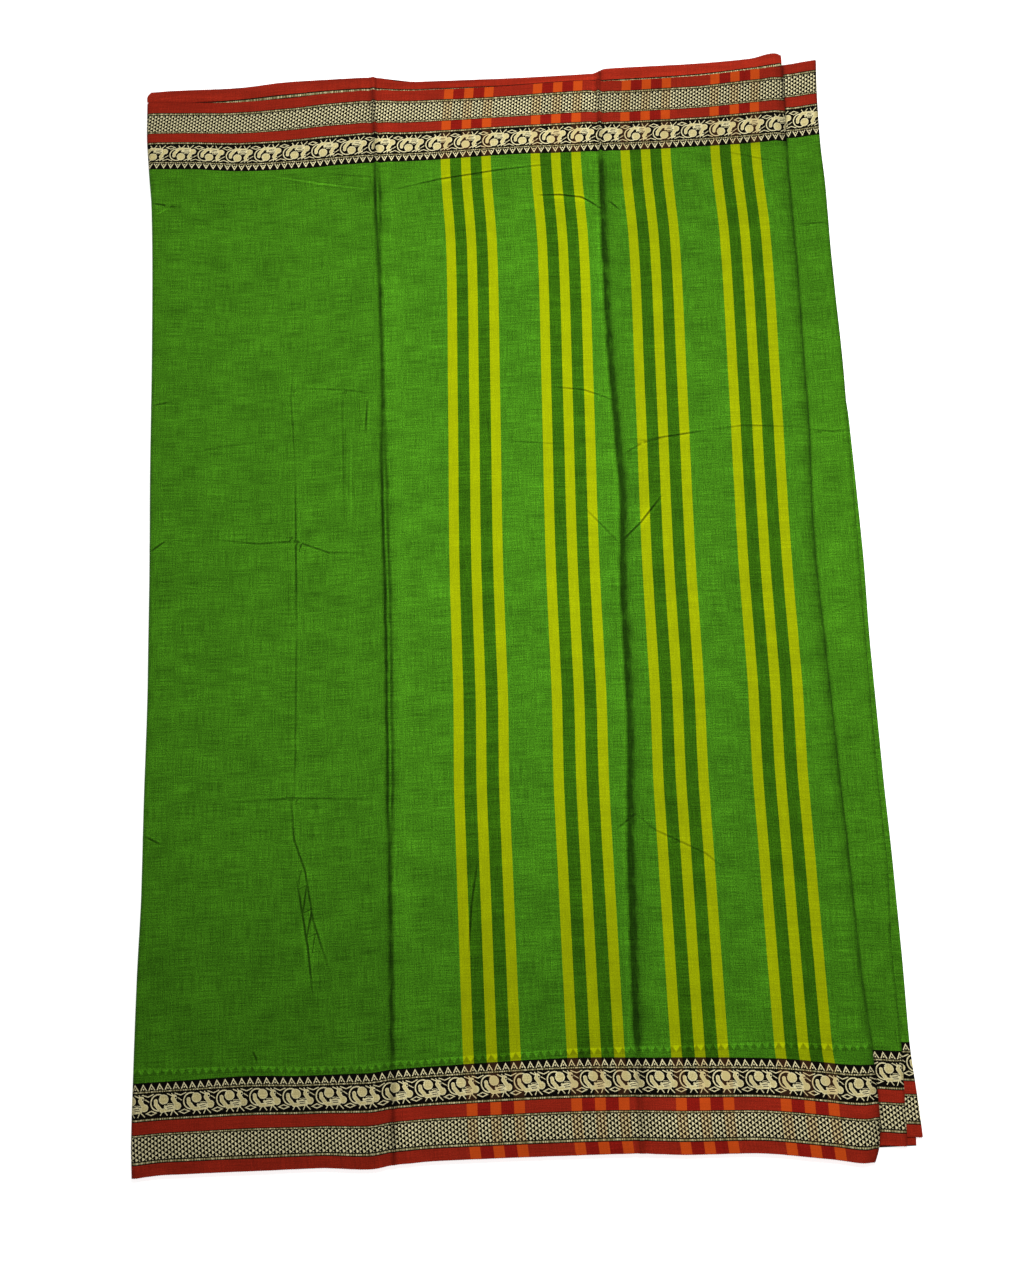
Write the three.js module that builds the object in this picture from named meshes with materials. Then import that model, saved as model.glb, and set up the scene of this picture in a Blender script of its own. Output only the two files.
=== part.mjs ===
// A cotton saree folded for the shelf and laid flat, at full cloth width.
// Millimetres. +X runs along the cloth's length, +Y across it from selvedge to
// selvedge, +Z up. The origin is the middle of the folded pack, on the surface it lies on.
import * as THREE from "three";

// Driving dimensions.
const CLOTH = 1.2;              // wall of one stretch of cloth
const AIR = 0.3;                // air between one stretch and the next
const LAYER = CLOTH + AIR;
const RIM_HEIGHT = 2.6;         // the hidden layers at their edges
const HEAP_HEIGHT = 5.2;        // and in the middle, where the cloth is full
const SHOULDER = 30;            // in from the edge to where the pack has risen halfway
const FULL = 90;                // and to where it has its full height
const ROUNDING = [
  { inset: 0, rise: 0 },
  { inset: SHOULDER, rise: 0.5 },
  { inset: FULL, rise: 1 },
];
const LEFT_FOLD_HALF_WIDTH = 4.4;
const LEFT_FOLD_TUCK = 12;      // how far the left fold runs back in underneath
const RIGHT_FOLD_TUCK = 3;
const TUCKED_END_INSET = 6.5;   // inner stretches end here, inside the left fold
const HIDDEN_LEFT_INSET = 19;
const FOLD_STEPS = 6;
const MIDDLE_ROWS = 17;         // rows of faces between the two borders
const LEFT_COLUMNS = 3;         // columns of faces left of the first crease,
const MIDDLE_COLUMNS = 5;       // between the two
const RIGHT_COLUMNS = 3;        // and right of the second
const CORNER_INSET = 14;        // a row that follows the cut-back lower right corner

// Side edges by their place across the cloth: the left fold, then the right edge of each stretch.
const SIDES = {
  columns: ["y", "left", "top", "second", "third", "hidden"],
  rows: [
    [600, -382, 343, 382, 379, 374],
    [529, -382, 340, 378, 376, 372],
    [479, -379, 338, 377, 375, 371],
    [430, -375, 337, 378, 375, 371],
    [346, -373, 337, 377, 374, 370],
    [221, -372, 335, 378, 375, 371],
    [155, -372, 334, 377, 379, 372],
    [9, -371, 328, 375, 380, 373],
    [-100, -371, 330, 373, 378, 372],
    [-227, -373, 332, 372, 378, 372],
    [-315, -374, 334, 373, 379, 372],
    [-402, -377, 335, 369, 379, 373],
    [-486, -379, 339, 369, 378, 373],
    [-550, -380, 341, 367, 381, 375],
    [-583, -379, 338, 366, 382, 375],
    [-600, -378, 332, 366, 382, 375],
  ],
};

// Upper selvedges by their place along the cloth.
const UPPER_SELVEDGES = {
  columns: ["x", "top", "turned", "second", "third", "hidden"],
  rows: [
    [-382, 568, 575, 569, 566, 567],
    [-334, 564, 577, 569, 566, 568],
    [-288, 561, 578, 570, 566, 569],
    [-220, 563, 583, 572, 568, 571],
    [-175, 565, 585, 573, 569, 572],
    [-129, 567, 585, 573, 569, 572],
    [-83, 565, 578, 571, 567, 569],
    [7, 566, 577, 572, 568, 570],
    [117, 570, 579, 573, 569, 572],
    [145, 568, 586, 576, 572, 575],
    [237, 570, 588, 580, 575, 578],
    [305, 576, 592, 582, 577, 579],
    [343, 579, 599, 583, 578, 580],
    [374, 578, 596, 587, 580, 582],
    [382, 578, 596, 584, 580, 582],
  ],
};

// Lower selvedges by their place along the cloth.
const LOWER_SELVEDGES = {
  columns: ["x", "top", "turned", "second", "third", "hidden"],
  rows: [
    [-382, -583, -579, -577, -574, -576],
    [-342, -580, -577, -576, -573, -575],
    [-200, -580, -577, -576, -573, -575],
    [-151, -583, -580, -578, -575, -577],
    [-126, -580, -577, -576, -573, -575],
    [-74, -578, -575, -574, -572, -573],
    [99, -580, -577, -576, -573, -575],
    [156, -584, -581, -579, -576, -578],
    [214, -585, -582, -580, -577, -579],
    [290, -594, -589, -584, -578, -582],
    [326, -599, -593, -585, -577, -584],
    [341, -597, -592, -582, -577, -584],
    [366, -597, -592, -584, -576, -584],
    [382, -597, -592, -584, -577, -584],
  ],
};

// The two creases pressed across the pack: where each lies and how high its crest stands.
const CREASES = {
  columns: ["y", "first", "firstCrest", "second", "secondCrest"],
  rows: [
    [600, -126, 1.0, 131, 1.2],
    [477, -123, 1.2, 128, 1.3],
    [371, -122, 1.3, 126, 1.2],
    [253, -121, 0.9, 125, 1.1],
    [82, -122, 1.4, 129, 1.0],
    [-27, -121, 1.2, 124, 0.9],
    [-142, -122, 0.8, 123, 0.9],
    [-284, -124, 0.6, 116, 0.8],
    [-480, -126, 0.7, 111, 0.8],
    [-600, -127, 0.6, 110, 0.7],
  ],
};
const CREASE_REACH = 14;
const CREASE_SECTION = [        // across a crease: a sharp crest between two shallow troughs
  { offset: -CREASE_REACH, lift: 0 },
  { offset: -6, lift: -0.35 },
  { offset: 0, lift: 1 },
  { offset: 6, lift: -0.35 },
  { offset: CREASE_REACH, lift: 0 },
];

// The hidden layers' edge, from the bottom up: each layer stands out or back a little.
const LAYERED_EDGE = [
  { height: 0.30, out: 0 },
  { height: 0.34, out: -2 },
  { height: 0.38, out: 1.1 },
  { height: 0.64, out: 1.1 },
  { height: 0.68, out: -2 },
  { height: 0.72, out: -0.7 },
];

const GREEN = 0x3f7d18;
const DEEP_GREEN = 0x33690f;

function readTable(table, key, name, at) {
  const keyColumn = table.columns.indexOf(key);
  const column = table.columns.indexOf(name);
  const rows = [...table.rows].sort((a, b) => a[keyColumn] - b[keyColumn]);
  let k = 0;
  while (k < rows.length - 2 && rows[k + 1][keyColumn] < at) k += 1;
  const [low, high] = [rows[k], rows[k + 1]];
  const t = (at - low[keyColumn]) / (high[keyColumn] - low[keyColumn]);
  return THREE.MathUtils.lerp(low[column], high[column], THREE.MathUtils.clamp(t, 0, 1));
}

// A section's value at a place across it. Before its first point it runs on in a straight line.
function readSection(section, at, key, value) {
  let k = 0;
  while (k < section.length - 2 && section[k + 1][key] < at) k += 1;
  const [low, high] = [section[k], section[k + 1]];
  const t = (at - low[key]) / (high[key] - low[key]);
  return THREE.MathUtils.lerp(low[value], high[value], Math.min(t, 1));
}

const side = (name, y) => readTable(SIDES, "y", name, y);
const upper = (name, x) => readTable(UPPER_SELVEDGES, "x", name, x);
const lower = (name, x) => readTable(LOWER_SELVEDGES, "x", name, x);
const crease = (name, y) => readTable(CREASES, "y", name, y);
const outlineRight = (y) => Math.max(side("second", y), side("third", y));

// Height of the hidden layers' upper face, which every stretch above follows.
function heapTop(x, y) {
  const rise = (inset) => readSection(ROUNDING, inset, "inset", "rise");
  const across = Math.min(rise(x - side("left", y)), rise(outlineRight(y) - x));
  const along = Math.min(rise(y - lower("second", x)), rise(upper("second", x) - y));
  const outside = across < 0 && along < 0;
  const rounded = outside ? -across * along : across * along;
  let height = RIM_HEIGHT + (HEAP_HEIGHT - RIM_HEIGHT) * rounded;
  for (const name of ["first", "second"]) {
    const offset = x - crease(name, y);
    if (Math.abs(offset) < CREASE_REACH) {
      const crest = crease(name + "Crest", y);
      height += crest * readSection(CREASE_SECTION, offset, "offset", "lift");
    }
  }
  return height;
}

// Lines that every stretch shares, so that each lies evenly on the one below.
function sharedColumns() {
  const between = (from, to, count) => {
    const steps = [];
    for (let k = 1; k < count; k += 1) {
      steps.push((y) => THREE.MathUtils.lerp(from(y), to(y), k / count));
    }
    return steps;
  };
  const overCrease = (name) => CREASE_SECTION.map(({ offset }) => (y) => crease(name, y) + offset);
  const leftFull = (y) => side("left", y) + FULL;
  const rightFull = (y) => outlineRight(y) - FULL;
  const beside = (name, way) => (y) => crease(name, y) + way * CREASE_REACH;
  return [
    (y) => side("left", y) + SHOULDER,
    leftFull,
    ...between(leftFull, beside("first", -1), LEFT_COLUMNS),
    ...overCrease("first"),
    ...between(beside("first", 1), beside("second", -1), MIDDLE_COLUMNS),
    ...overCrease("second"),
    ...between(beside("second", 1), rightFull, RIGHT_COLUMNS),
    rightFull,
  ];
}

function rowLines(name) {
  const middle = [];
  for (let k = 0; k <= MIDDLE_ROWS; k += 1) {
    middle.push((x) => THREE.MathUtils.lerp(
      lower("second", x) + FULL, upper("second", x) - FULL, k / MIDDLE_ROWS));
  }
  return [
    (x) => lower(name, x),
    (x) => lower(name, x) + CORNER_INSET,
    (x) => lower("second", x) + SHOULDER,
    ...middle,
    (x) => upper("second", x) - SHOULDER,
    (x) => upper(name, x),
  ];
}

// Where a column and a row of the net cross in plan. Both are nearly straight, so a few rounds do.
function crossing(column, row) {
  const rounds = 4;
  let y = row(0);
  let x = column(y);
  for (let k = 0; k < rounds; k += 1) {
    y = row(x);
    x = column(y);
  }
  return { x, y };
}

// A closed body between two nets of points of equal size, net[row][column].
// The rim gives points down its edge as parts of the way up and steps outward.
function bodyBetween(outer, inner, rim = []) {
  const rows = outer.length;
  const columns = outer[0].length;
  const points = [];
  const faces = [];
  const put = (p) => points.push(p) - 1;
  const top = outer.map((row) => row.map(put));
  const bottom = inner.map((row) => row.map(put));
  const quad = (a, b, c, d) => faces.push(a, b, c, a, c, d);
  for (let j = 0; j + 1 < rows; j += 1) {
    for (let i = 0; i + 1 < columns; i += 1) {
      quad(top[j][i], top[j][i + 1], top[j + 1][i + 1], top[j + 1][i]);
      quad(bottom[j][i], bottom[j + 1][i], bottom[j + 1][i + 1], bottom[j][i + 1]);
    }
  }
  const loop = [];
  for (let i = 0; i < columns - 1; i += 1) loop.push([0, i]);
  for (let j = 0; j < rows - 1; j += 1) loop.push([j, columns - 1]);
  for (let i = columns - 1; i > 0; i -= 1) loop.push([rows - 1, i]);
  for (let j = rows - 1; j > 0; j -= 1) loop.push([j, 0]);
  const count = loop.length;
  const outward = loop.map((_, k) => {
    const [before, after] = [loop.at(k - 1), loop[(k + 1) % count]];
    const way = outer[after[0]][after[1]].clone().sub(outer[before[0]][before[1]]);
    return new THREE.Vector3(way.y, -way.x, 0).normalize();
  });
  const rings = [loop.map(([j, i]) => bottom[j][i])];
  for (const { height, out } of rim) {
    rings.push(loop.map(([j, i], k) => put(
      inner[j][i].clone().lerp(outer[j][i], height).addScaledVector(outward[k], out))));
  }
  rings.push(loop.map(([j, i]) => top[j][i]));
  for (let r = 0; r + 1 < rings.length; r += 1) {
    for (let k = 0; k < count; k += 1) {
      const next = (k + 1) % count;
      quad(rings[r][k], rings[r][next], rings[r + 1][next], rings[r + 1][k]);
    }
  }
  const geometry = new THREE.BufferGeometry();
  geometry.setAttribute("position",
    new THREE.Float32BufferAttribute(points.flatMap((p) => [p.x, p.y, p.z]), 3));
  geometry.setIndex(faces);
  geometry.computeVertexNormals();
  return geometry;
}

function clothMesh(name, geometry, colour) {
  const material = new THREE.MeshStandardMaterial({ color: colour, roughness: 0.9, metalness: 0 });
  const mesh = new THREE.Mesh(geometry, material);
  mesh.name = name;
  return mesh;
}

// Height of a stretch's underside above the hidden layers: level 0 is the lowest that shows.
const undersideOf = (level) => AIR + level * LAYER;

// A stretch that lies flat inside the pack, from inside the left fold to its own right line.
function flatStretch(name, edges, level, rightColumns) {
  const leftLine = (y) => side("left", y) + TUCKED_END_INSET;
  const columns = [leftLine, ...sharedColumns(), ...rightColumns];
  const rows = rowLines(edges);
  const net = (lift) => rows.map((row) => columns.map((column) => {
    const { x, y } = crossing(column, row);
    return new THREE.Vector3(x, y, heapTop(x, y) + lift);
  }));
  const underside = undersideOf(level);
  return clothMesh(name, bodyBetween(net(underside + CLOTH), net(underside)), GREEN);
}

const rightShoulder = (y) => outlineRight(y) - SHOULDER;

// The stretch on top. At the left it rolls down round the pack and in beneath it,
// and at the right it turns under to meet the stretch below.
function topStretch() {
  const underside = undersideOf(3);
  const half = CLOTH / 2;
  const outer = [];
  const inner = [];
  for (const row of rowLines("top")) {
    const line = [];
    const add = (x, y, z, nx, nz) => line.push({ x, y, z, nx, nz });
    const leftCentre = (y) => side("left", y) + half + LEFT_FOLD_HALF_WIDTH;
    const left = crossing(leftCentre, row);
    const leftTop = heapTop(left.x, left.y) + underside + half;
    const rise = (leftTop - half) / 2;
    add(left.x + LEFT_FOLD_TUCK, left.y, half, 0, -1);
    for (let k = 0; k <= FOLD_STEPS; k += 1) {
      const turn = Math.PI * (k / FOLD_STEPS - 0.5);
      const normal = new THREE.Vector2(-rise * Math.cos(turn), LEFT_FOLD_HALF_WIDTH * Math.sin(turn));
      normal.normalize();
      add(left.x - LEFT_FOLD_HALF_WIDTH * Math.cos(turn), left.y,
        half + rise + rise * Math.sin(turn), normal.x, normal.y);
    }
    for (const column of sharedColumns()) {
      const { x, y } = crossing(column, row);
      add(x, y, heapTop(x, y) + underside + half, 0, 1);
    }
    const radius = LAYER / 2;
    const right = crossing((y) => side("top", y) - half - radius, row);
    const rightTop = heapTop(right.x, right.y) + underside + half;
    for (let k = 0; k <= FOLD_STEPS; k += 1) {
      const turn = Math.PI * (0.5 - k / FOLD_STEPS);
      add(right.x + radius * Math.cos(turn), right.y,
        rightTop - radius + radius * Math.sin(turn), Math.cos(turn), Math.sin(turn));
    }
    add(right.x - RIGHT_FOLD_TUCK, right.y, rightTop - LAYER, 0, -1);
    outer.push(line.map((p) => new THREE.Vector3(p.x + p.nx * half, p.y, p.z + p.nz * half)));
    inner.push(line.map((p) => new THREE.Vector3(p.x - p.nx * half, p.y, p.z - p.nz * half)));
  }
  return clothMesh("top_stretch", bodyBetween(outer, inner), GREEN);
}

// The stretch turned back beneath the top one. Its upper selvedge shows past the top one's.
function turnedStretch() {
  const clear = CLOTH / 2 + LAYER / 2 + RIGHT_FOLD_TUCK + AIR;
  return flatStretch("turned_under_stretch", "turned", 2, [(y) => side("top", y) - clear]);
}

// The next stretch out, which shows right of the top one.
function secondStretch() {
  return flatStretch("second_stretch", "second", 1, [rightShoulder, (y) => side("second", y)]);
}

// The lowest stretch that shows, as a narrow strip at the right.
function thirdStretch() {
  return flatStretch("third_stretch", "third", 0, [rightShoulder, (y) => side("third", y)]);
}

// The layers that nothing shows of, as one rounded body with layered edges and a flat underside.
function hiddenLayers() {
  const columns = [
    (y) => side("left", y) + HIDDEN_LEFT_INSET,
    ...sharedColumns(),
    rightShoulder,
    (y) => side("hidden", y),
  ];
  const plan = rowLines("hidden").map((row) => columns.map((column) => crossing(column, row)));
  const top = plan.map((row) => row.map(({ x, y }) => new THREE.Vector3(x, y, heapTop(x, y))));
  const floor = plan.map((row) => row.map(({ x, y }) => new THREE.Vector3(x, y, 0)));
  return clothMesh("hidden_layers", bodyBetween(top, floor, LAYERED_EDGE), DEEP_GREEN);
}

const group = new THREE.Group();
group.add(topStretch(), turnedStretch(), secondStretch(), thirdStretch(), hiddenLayers());

export default group;
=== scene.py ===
import math

import bpy
import numpy as np
from bpy.props import FloatProperty, FloatVectorProperty, PointerProperty
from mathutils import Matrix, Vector, noise


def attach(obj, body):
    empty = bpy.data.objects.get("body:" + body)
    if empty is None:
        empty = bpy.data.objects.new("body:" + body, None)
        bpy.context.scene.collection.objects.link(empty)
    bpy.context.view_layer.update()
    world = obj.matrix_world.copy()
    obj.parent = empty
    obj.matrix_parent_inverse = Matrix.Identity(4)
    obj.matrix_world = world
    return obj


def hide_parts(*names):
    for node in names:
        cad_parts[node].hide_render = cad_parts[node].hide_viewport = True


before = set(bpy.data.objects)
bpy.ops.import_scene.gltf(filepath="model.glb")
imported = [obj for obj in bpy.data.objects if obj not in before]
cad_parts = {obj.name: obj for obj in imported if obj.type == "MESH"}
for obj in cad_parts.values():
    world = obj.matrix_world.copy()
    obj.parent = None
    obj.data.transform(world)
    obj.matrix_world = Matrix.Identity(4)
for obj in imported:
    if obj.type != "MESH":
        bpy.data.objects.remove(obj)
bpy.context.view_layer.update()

bl_info = {
    "name": "Folded zari border saree",
    "version": (1, 0, 0),
    "blender": (4, 5, 0),
    "location": "3D View > Sidebar > Saree",
    "description": "Builds a folded cotton saree: its cloth, its woven borders and its selvedges",
    "category": "Add Mesh",
}

# How the pack is built up.
CAD_WALL = 0.0012               # wall of one stretch in the solids
AIR = 0.0003
LAYER = CAD_WALL + AIR
RIM_HEIGHT = 0.0026             # the hidden layers at their edges
HEAP_HEIGHT = 0.0052            # and in the middle, where the cloth is full
FULL = 0.090                    # in from the edge to where the pack has its full height
LEFT_ROLL = 0.0050              # half width of the rolled left fold, outside
LEFT_TUCK = 0.012
RIGHT_ROLL = 0.0046             # how wide the top stretch rolls over at its right fold
SMALL_ROLL = 0.0016             # the same at the folds below
TUCKED_END_INSET = 0.0065       # inner stretches end here, inside the left fold
HIDDEN_LEFT_INSET = 0.019
ROLL_STEPS = 8

# Side edges by their place across the cloth: the left fold, then the right edge of each stretch.
SIDES = {
    "columns": ("y", "left", "top", "second", "third", "hidden"),
    "rows": (
        (-0.600, -0.378, 0.332, 0.366, 0.382, 0.375),
        (-0.583, -0.379, 0.338, 0.366, 0.382, 0.375),
        (-0.550, -0.380, 0.341, 0.367, 0.381, 0.375),
        (-0.486, -0.379, 0.339, 0.369, 0.378, 0.373),
        (-0.402, -0.377, 0.335, 0.369, 0.379, 0.373),
        (-0.315, -0.374, 0.334, 0.373, 0.379, 0.372),
        (-0.227, -0.373, 0.332, 0.372, 0.378, 0.372),
        (-0.100, -0.371, 0.330, 0.373, 0.378, 0.372),
        (0.009, -0.371, 0.328, 0.375, 0.380, 0.373),
        (0.155, -0.372, 0.334, 0.377, 0.379, 0.372),
        (0.221, -0.372, 0.335, 0.378, 0.375, 0.371),
        (0.346, -0.373, 0.337, 0.377, 0.374, 0.370),
        (0.430, -0.375, 0.337, 0.378, 0.375, 0.371),
        (0.479, -0.379, 0.338, 0.377, 0.375, 0.371),
        (0.529, -0.382, 0.340, 0.378, 0.376, 0.372),
        (0.600, -0.382, 0.343, 0.382, 0.379, 0.374),
    ),
}

# Upper selvedges by their place along the cloth.
UPPER_SELVEDGES = {
    "columns": ("x", "top", "turned", "second", "third", "hidden"),
    "rows": (
        (-0.382, 0.562, 0.573, 0.561, 0.560, 0.560),
        (-0.377, 0.562, 0.5765, 0.561, 0.560, 0.560),
        (-0.334, 0.560, 0.578, 0.562, 0.560, 0.561),
        (-0.288, 0.558, 0.578, 0.565, 0.562, 0.564),
        (-0.220, 0.561, 0.584, 0.570, 0.567, 0.569),
        (-0.175, 0.565, 0.585, 0.573, 0.569, 0.572),
        (-0.129, 0.567, 0.586, 0.573, 0.569, 0.572),
        (-0.083, 0.565, 0.578, 0.571, 0.567, 0.569),
        (0.007, 0.566, 0.578, 0.572, 0.568, 0.570),
        (0.117, 0.570, 0.580, 0.573, 0.569, 0.572),
        (0.129, 0.569, 0.581, 0.574, 0.570, 0.573),
        (0.138, 0.568, 0.586, 0.575, 0.571, 0.574),
        (0.237, 0.570, 0.588, 0.580, 0.575, 0.578),
        (0.305, 0.576, 0.592, 0.582, 0.577, 0.579),
        (0.333, 0.578, 0.598, 0.582, 0.578, 0.580),
        (0.338, 0.579, 0.597, 0.583, 0.578, 0.580),
        (0.343, 0.579, 0.593, 0.583, 0.578, 0.580),
        (0.374, 0.578, 0.596, 0.587, 0.580, 0.582),
        (0.382, 0.578, 0.596, 0.588, 0.580, 0.582),
    ),
}

# Lower selvedges by their place along the cloth.
LOWER_SELVEDGES = {
    "columns": ("x", "top", "turned", "second", "third", "hidden"),
    "rows": (
        (-0.382, -0.583, -0.579, -0.577, -0.574, -0.576),
        (-0.342, -0.580, -0.577, -0.576, -0.573, -0.575),
        (-0.200, -0.580, -0.577, -0.576, -0.573, -0.575),
        (-0.151, -0.583, -0.580, -0.578, -0.575, -0.577),
        (-0.126, -0.580, -0.577, -0.576, -0.573, -0.575),
        (-0.074, -0.578, -0.575, -0.574, -0.572, -0.573),
        (0.099, -0.579, -0.577, -0.576, -0.573, -0.575),
        (0.156, -0.5825, -0.581, -0.579, -0.576, -0.578),
        (0.214, -0.5835, -0.582, -0.580, -0.577, -0.579),
        (0.290, -0.592, -0.589, -0.584, -0.578, -0.582),
        (0.326, -0.597, -0.593, -0.585, -0.577, -0.584),
        (0.341, -0.5955, -0.592, -0.582, -0.577, -0.584),
        (0.366, -0.5955, -0.592, -0.584, -0.576, -0.584),
        (0.382, -0.5955, -0.592, -0.584, -0.577, -0.584),
    ),
}

# Inner edges of the top stretch's two borders, which wave less than its selvedges do.
BORDER_LINES = {
    "columns": ("x", "lower", "upper"),
    "rows": (
        (-0.380, -0.496, 0.479),
        (-0.328, -0.4945, 0.4755),
        (-0.265, -0.493, 0.470),
        (-0.209, -0.495, 0.471),
        (-0.151, -0.495, 0.474),
        (-0.126, -0.4925, 0.4745),
        (-0.076, -0.491, 0.475),
        (0.037, -0.489, 0.479),
        (0.130, -0.492, 0.4785),
        (0.200, -0.495, 0.479),
        (0.250, -0.498, 0.480),
        (0.290, -0.503, 0.4815),
        (0.317, -0.5065, 0.483),
        (0.343, -0.5075, 0.4835),
    ),
}

# The two creases pressed across the pack: where each lies, how high its crest stands, and how
# far the first is pressed double.
CREASES = {
    "columns": ("y", "first", "first_crest", "second", "second_crest", "double"),
    "rows": (
        (-0.600, -0.127, 0.0008, 0.110, 0.0010, 0.0),
        (-0.480, -0.126, 0.0010, 0.111, 0.0011, 0.1),
        (-0.284, -0.124, 0.0010, 0.116, 0.0012, 0.1),
        (-0.230, -0.123, 0.0013, 0.119, 0.0014, 1.0),
        (-0.142, -0.122, 0.0012, 0.123, 0.0012, 1.0),
        (-0.027, -0.121, 0.0015, 0.124, 0.0013, 1.0),
        (0.082, -0.122, 0.0017, 0.129, 0.0013, 1.0),
        (0.165, -0.1215, 0.0013, 0.127, 0.0014, 0.3),
        (0.253, -0.121, 0.0010, 0.125, 0.0014, 0.0),
        (0.371, -0.122, 0.0014, 0.126, 0.0015, 0.2),
        (0.430, -0.1225, 0.0017, 0.127, 0.0016, 1.0),
        (0.477, -0.123, 0.0015, 0.128, 0.0016, 0.4),
        (0.600, -0.126, 0.0013, 0.131, 0.0015, 0.1),
    ),
}
CREASE_NAMES = ("first", "second")
CREASE_CORE = 0.010             # either side of a crease, where the net is fine
CREST_WIDTH = 0.0020
TROUGH_WIDTH = 0.0030
TROUGH_PLACE = 0.0055

# How far the weft leans along X, by its place across the cloth: the stripes follow it.
WEFT_LEAN = {
    "columns": ("y", "lean"),
    "rows": (
        (-0.600, 0.0018),
        (-0.588, 0.0008),
        (-0.545, -0.0024),
        (-0.515, -0.0022),
        (-0.492, -0.0041),
        (-0.470, -0.0044),
        (-0.350, -0.0046),
        (-0.240, -0.0048),
        (-0.120, -0.0023),
        (-0.029, -0.0022),
        (0.192, 0.0023),
        (0.368, 0.0057),
        (0.466, 0.0027),
        (0.520, 0.0051),
        (0.565, 0.0096),
        (0.600, 0.0120),
    ),
}

# How much of the turned stretch's border stands out past the top selvedge, measured on its weave.
TURNED_SHOWS = {
    "columns": ("x", "width"),
    "rows": (
        (-0.382, 0.0090),
        (-0.318, 0.0132),
        (-0.270, 0.0148),
        (-0.220, 0.0157),
        (-0.130, 0.0150),
        (0.000, 0.0141),
        (0.120, 0.0139),
        (0.180, 0.0139),
        (0.260, 0.0143),
        (0.343, 0.0158),
    ),
}


def linear(code):
    """A colour's linear parts from its sRGB hex code."""
    parts = [(code >> shift & 255) / 255 for shift in (16, 8, 0)]
    return tuple(c / 12.92 if c <= 0.04045 else ((c + 0.055) / 1.055) ** 2.4 for c in parts)


def ramp(value, start, end):
    """From 0 at the start to 1 at the end, and level beyond them."""
    return np.clip((value - start) / (end - start), 0, 1)


def length_property(name, description, metres):
    return FloatProperty(name=name, description=description, default=metres, unit="LENGTH")


class SareeSizes(bpy.types.PropertyGroup):
    """Sizes of the cloth and of its woven border."""

    cloth_width: length_property("Cloth width", "From selvedge to selvedge", 1.150)
    wall: length_property("Cloth wall", "Thickness of one stretch", 0.0007)
    border: length_property("Border width", "From the selvedge to the plain cloth", 0.0876)
    stripe: length_property("Stripe width", "One yellow stripe", 0.0103)
    stripe_pitch: length_property("Stripe pitch", "Between stripes of one group", 0.0228)
    group_pitch: length_property("Group pitch", "Between groups of three stripes", 0.1007)
    bird_repeat: length_property("Bird repeat", "Length of one repeat of the bird band", 0.0319)
    yarn_pitch: length_property("Yarn pitch", "Between the yarns of the weave, as drawn", 0.0009)
    selvedge_yarn: length_property("Selvedge yarn", "Radius of the doubled yarn at the selvedge", 0.00040)


def colour_property(name, description, code):
    return FloatVectorProperty(
        name=name, description=description, default=linear(code), subtype="COLOR", size=3,
        min=0.0, max=1.0)


class SareeColours(bpy.types.PropertyGroup):
    """Colours of the dyed cotton and of the zari thread."""

    green: colour_property("Green", "The body's cotton", 0x437F14)
    deep_green: colour_property("Deep green", "Cotton between the stripes of a group", 0x356508)
    yellow: colour_property("Yellow", "The stripes", 0x9FAD00)
    red: colour_property("Red", "The border's plain bands", 0xA32A18)
    orange: colour_property("Orange", "Red bands where a stripe crosses", 0xDA5218)
    crimson: colour_property("Crimson", "Red bands between stripes", 0x981C12)
    black: colour_property("Black", "The border's figured ground", 0x0D0906)
    zari: colour_property("Zari", "The border's figures", 0xFFF4BE)
    dull_zari: colour_property("Dull zari", "Inside the border's large figures", 0xDACA88)
    olive: colour_property("Olive", "Where zari and black mix finely", 0x7C7448)


def sizes():
    return bpy.context.scene.saree_sizes


def colours():
    return bpy.context.scene.saree_colours


# Curves through the tables.


def read_table(table, key, name, at):
    """A smooth curve through one column of a table. It never swings past the table's own values."""
    rows = np.array(sorted(table["rows"], key=lambda row: row[table["columns"].index(key)]))
    x = rows[:, table["columns"].index(key)]
    y = rows[:, table["columns"].index(name)]
    step = np.diff(x)
    slope = np.diff(y) / step
    tangent = np.zeros_like(y)
    same_way = slope[:-1] * slope[1:] > 0
    both = np.where(same_way, slope[:-1] + slope[1:], 1.0)
    tangent[1:-1] = np.where(same_way, 2 * slope[:-1] * slope[1:] / both, 0.0)
    tangent[0], tangent[-1] = slope[0], slope[-1]
    at = np.clip(at, x[0], x[-1])
    k = np.clip(np.searchsorted(x, at) - 1, 0, len(x) - 2)
    t = (at - x[k]) / step[k]
    from_low = (1 + 2 * t) * (1 - t) ** 2 * y[k] + t * (1 - t) ** 2 * step[k] * tangent[k]
    from_high = t * t * (3 - 2 * t) * y[k + 1] + t * t * (t - 1) * step[k] * tangent[k + 1]
    return from_low + from_high


def side(name, y):
    return read_table(SIDES, "y", name, y)


def upper(name, x):
    return read_table(UPPER_SELVEDGES, "x", name, x)


def lower(name, x):
    return read_table(LOWER_SELVEDGES, "x", name, x)


def crease(name, y):
    return read_table(CREASES, "y", name, y)


def outline_right(y):
    return np.maximum(side("second", y), side("third", y))


def lean(y):
    return read_table(WEFT_LEAN, "y", "lean", y)


def crease_marks():
    """Lines either side of each crease, between which a net is fine."""
    return [lambda y, name=name, way=way: crease(name, y) + way * CREASE_CORE
            for name in CREASE_NAMES for way in (-1, 1)]


TROUGH_DEPTH = 0.35             # against the crest's height


def bump(offset, width, power=2.0):
    return np.exp(-(np.abs(offset) / width) ** power)


def crest_section(offset):
    """Across a crease: a sharp crest between two narrow troughs."""
    trough = bump(np.abs(offset) - TROUGH_PLACE, TROUGH_WIDTH)
    return bump(offset, CREST_WIDTH, 1.5) - TROUGH_DEPTH * trough


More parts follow.
